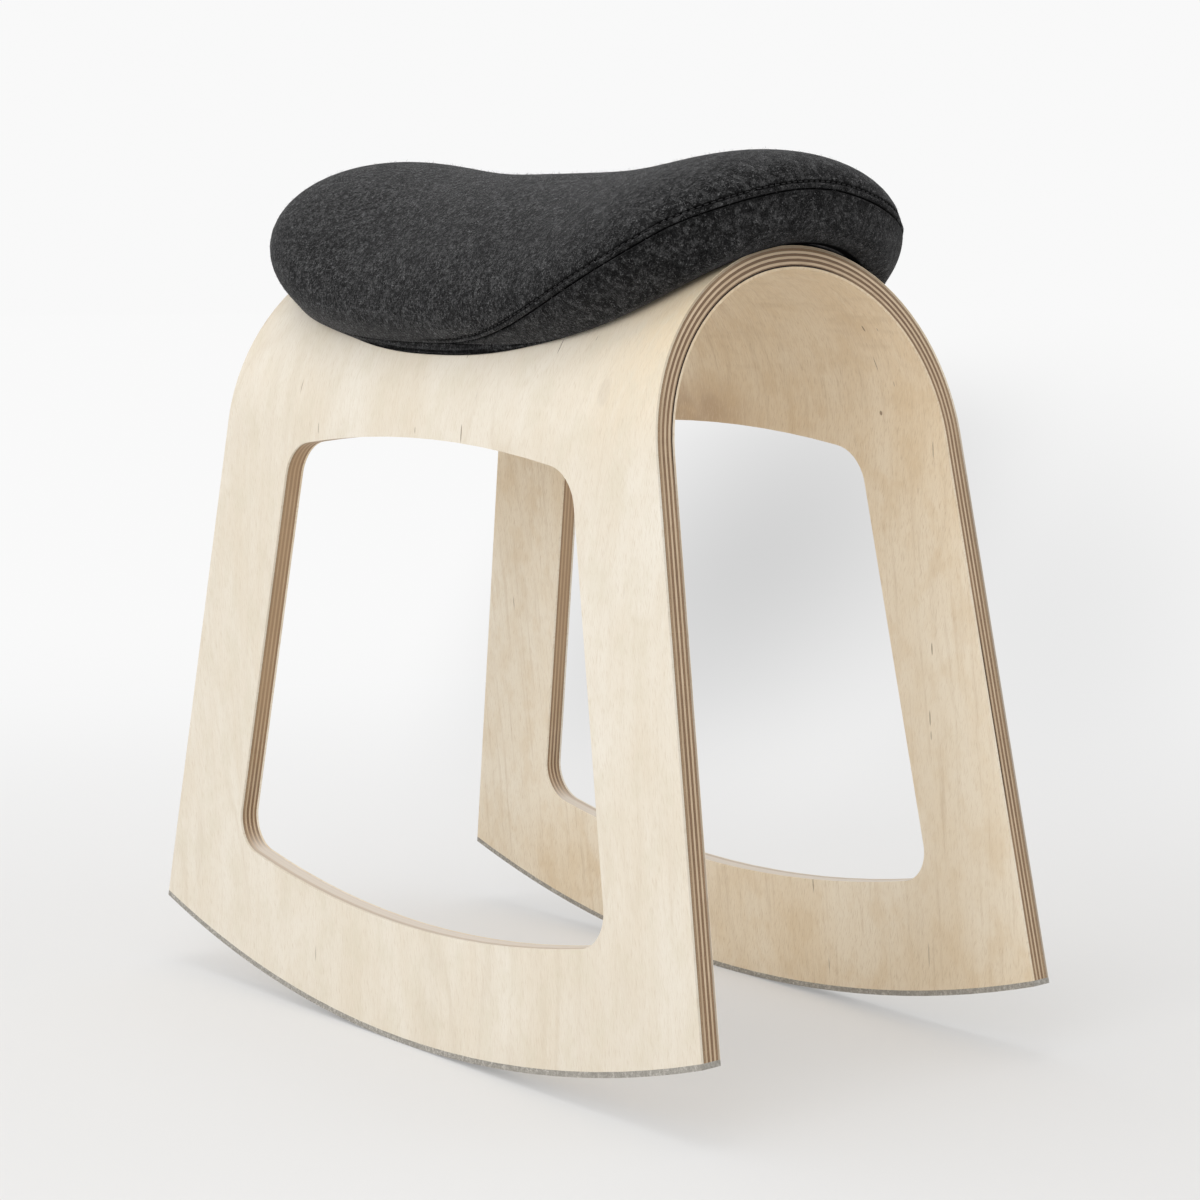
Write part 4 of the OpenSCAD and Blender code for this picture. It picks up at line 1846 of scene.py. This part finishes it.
@dataclass(frozen=True)
class Studio:
    """Floor, lamps, world and camera. The floor's shades are laid out from the viewpoint."""

    lamps: tuple[Lamp, ...] = (
        Lamp("key", (-2.3, -1.0, 1.6), (0.0, 0.0, 0.24), 2.2, 19.5),
        Lamp("low", (-2.3, -0.3, 0.6), (0.0, 0.0, 0.2), 1.3, 6.5),
        Lamp("fill", (1.8, -1.9, 1.3), (0.0, 0.0, 0.2), 1.6, 4.0),
        Lamp("top", (-0.2, 0.3, 2.5), (0.0, 0.0, 0.3), 1.8, 17.0),
    )
    soft: Shade = Shade((0.0474, 0.2674), (0.0767, 0.144), 0.29, 1.43)
    wide: Shade = Shade((0.1500, 0.3100), (0.085, 0.160), 0.14)
    floor_r: float = 14.0
    floor_z: float = -0.0002
    pale: Colour = (0.90, 0.895, 0.89)
    # painted shade on the floor, on the side towards the viewpoint
    painted_floor_shade: Colour = (0.80, 0.795, 0.788)
    backdrop: Colour = (0.946, 0.946, 0.946)
    daylight: float = 0.69
    haze_r: tuple[float, float] = (0.35, 1.2)
    level: float = 0.95
    front_drop: float = 0.135
    front_near: tuple[float, float] = (0.30, 0.62)
    front_ahead: tuple[float, float] = (0.0, 1.1)
    soft_near: tuple[float, float] = (0.08, 0.17)
    glow: tuple[float, float] = (0.32, 0.68)
    view: tuple[float, ...] = (0.6381, 0.7700, 1.5935, 0.0123)

    def build(self) -> None:
        """Build the studio."""
        Viewpoint().place()
        self._floor()
        self._world()
        for lamp in self.lamps:
            lamp.hang()
        bpy.context.scene.view_settings.view_transform = "Standard"

    def _floor(self) -> None:
        """A pale floor that the camera sees fade into the backdrop."""
        mesh = bpy.data.meshes.new("floor")
        work = bmesh.new()
        bmesh.ops.create_circle(work, cap_ends=True, radius=self.floor_r, segments=96)
        bmesh.ops.translate(work, verts=work.verts, vec=(0.0, 0.0, self.floor_z))
        work.to_mesh(mesh)
        work.free()
        floor = put("floor", mesh)
        r = Recipe.named("paper")
        x, y, _ = r.axes(r.place)
        far = (x * x + y * y).root().ramp(*self.haze_r)
        sine, cosine, back, right = self.view
        ahead = x * sine + y * cosine + back
        aside = (x * cosine - y * sine - right) / ahead
        near = ahead**-1.0
        # painted shade: the floor is darker towards the viewpoint, in its lit colour and in what
        # the camera sees
        front = near.ramp(*self.front_near) * ahead.ramp(*self.front_ahead)
        soft = self.soft.at(aside, near) * near.ramp(*self.soft_near)
        level = (self.level - front * self.front_drop) * (1 - soft)
        level = level * (1 - self.wide.at(aside, near))
        shown = r.node("ShaderNodeCombineColor", {0: level, 1: level, 2: level})
        tone = r.layered(self.pale, (front, self.painted_floor_shade))
        matt = r.node("ShaderNodeBsdfDiffuse", {"Color": tone})
        glow = r.node("ShaderNodeEmission", {"Color": shown, "Strength": 1.0})
        seen = r.node("ShaderNodeLightPath", output="Is Camera Ray")
        # painted light: the camera sees the floor partly as a glow, also near the stool, which
        # lightens its shadows
        fade = (self.glow[0] + far * self.glow[1]) * seen
        dress(floor, r.close(r.node("ShaderNodeMixShader", {0: fade, 1: matt, 2: glow})))

    def _world(self) -> None:
        """Soft light from all round, and a pale backdrop for the camera and in reflections."""
        r = Recipe(bpy.data.worlds.new("studio"))
        camera, gloss = (
            r.node("ShaderNodeLightPath", output=f"Is {ray} Ray") for ray in ("Camera", "Glossy")
        )
        white = {"Color": (1.0, 1.0, 1.0), "Strength": self.daylight}
        light = r.node("ShaderNodeBackground", white)
        shown = r.node("ShaderNodeBackground", {"Color": self.backdrop, "Strength": 1.0})
        inputs = {0: camera.larger(gloss), 1: light, 2: shown}
        bpy.context.scene.world = r.close(r.node("ShaderNodeMixShader", inputs))


# Whole -------------------------------------------------------------------------------------


def finish_piece(piece: Object) -> None:
    """Let a piece ride on the stool.

    Args:
        piece: the piece.
    """
    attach(piece, "root")
    data = piece.data
    LOG.info("%s: %d points, %d faces", piece.name, len(data.vertices), len(data.polygons))


def main() -> None:
    """Build the stool's looks, piece by piece."""
    logging.basicConfig(level=logging.INFO, format="%(name)s: %(message)s")
    Studio().build()
    plywood = Plywood()
    Shell(plywood).dress()
    form = CushionForm(plywood)
    puff = CoverPuff(form).run()
    cover = CushionCover(form, puff, WoolFelt("charcoal_felt").make())
    panels = [cover.top(), cover.gusset(), cover.base()]
    foam = cover.foam(Foam("foam").make())
    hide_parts("foam_core")
    for panel in panels:
        finish_piece(panel)
    finish_piece(foam)
    stitches = Topstitching(form, puff).make(Thread("thread", sheen=0.02).make())
    finish_piece(stitches)
    hair = Thread("wool_hair", (0.05, 0.05, 0.051), (0.30, 0.30, 0.305)).make()
    for seed, panel in enumerate((Panel.TOP, Panel.GUSSET), start=3):
        finish_piece(cover.hairs(panel, seed, hair))


if __name__ == "__main__":
    main()
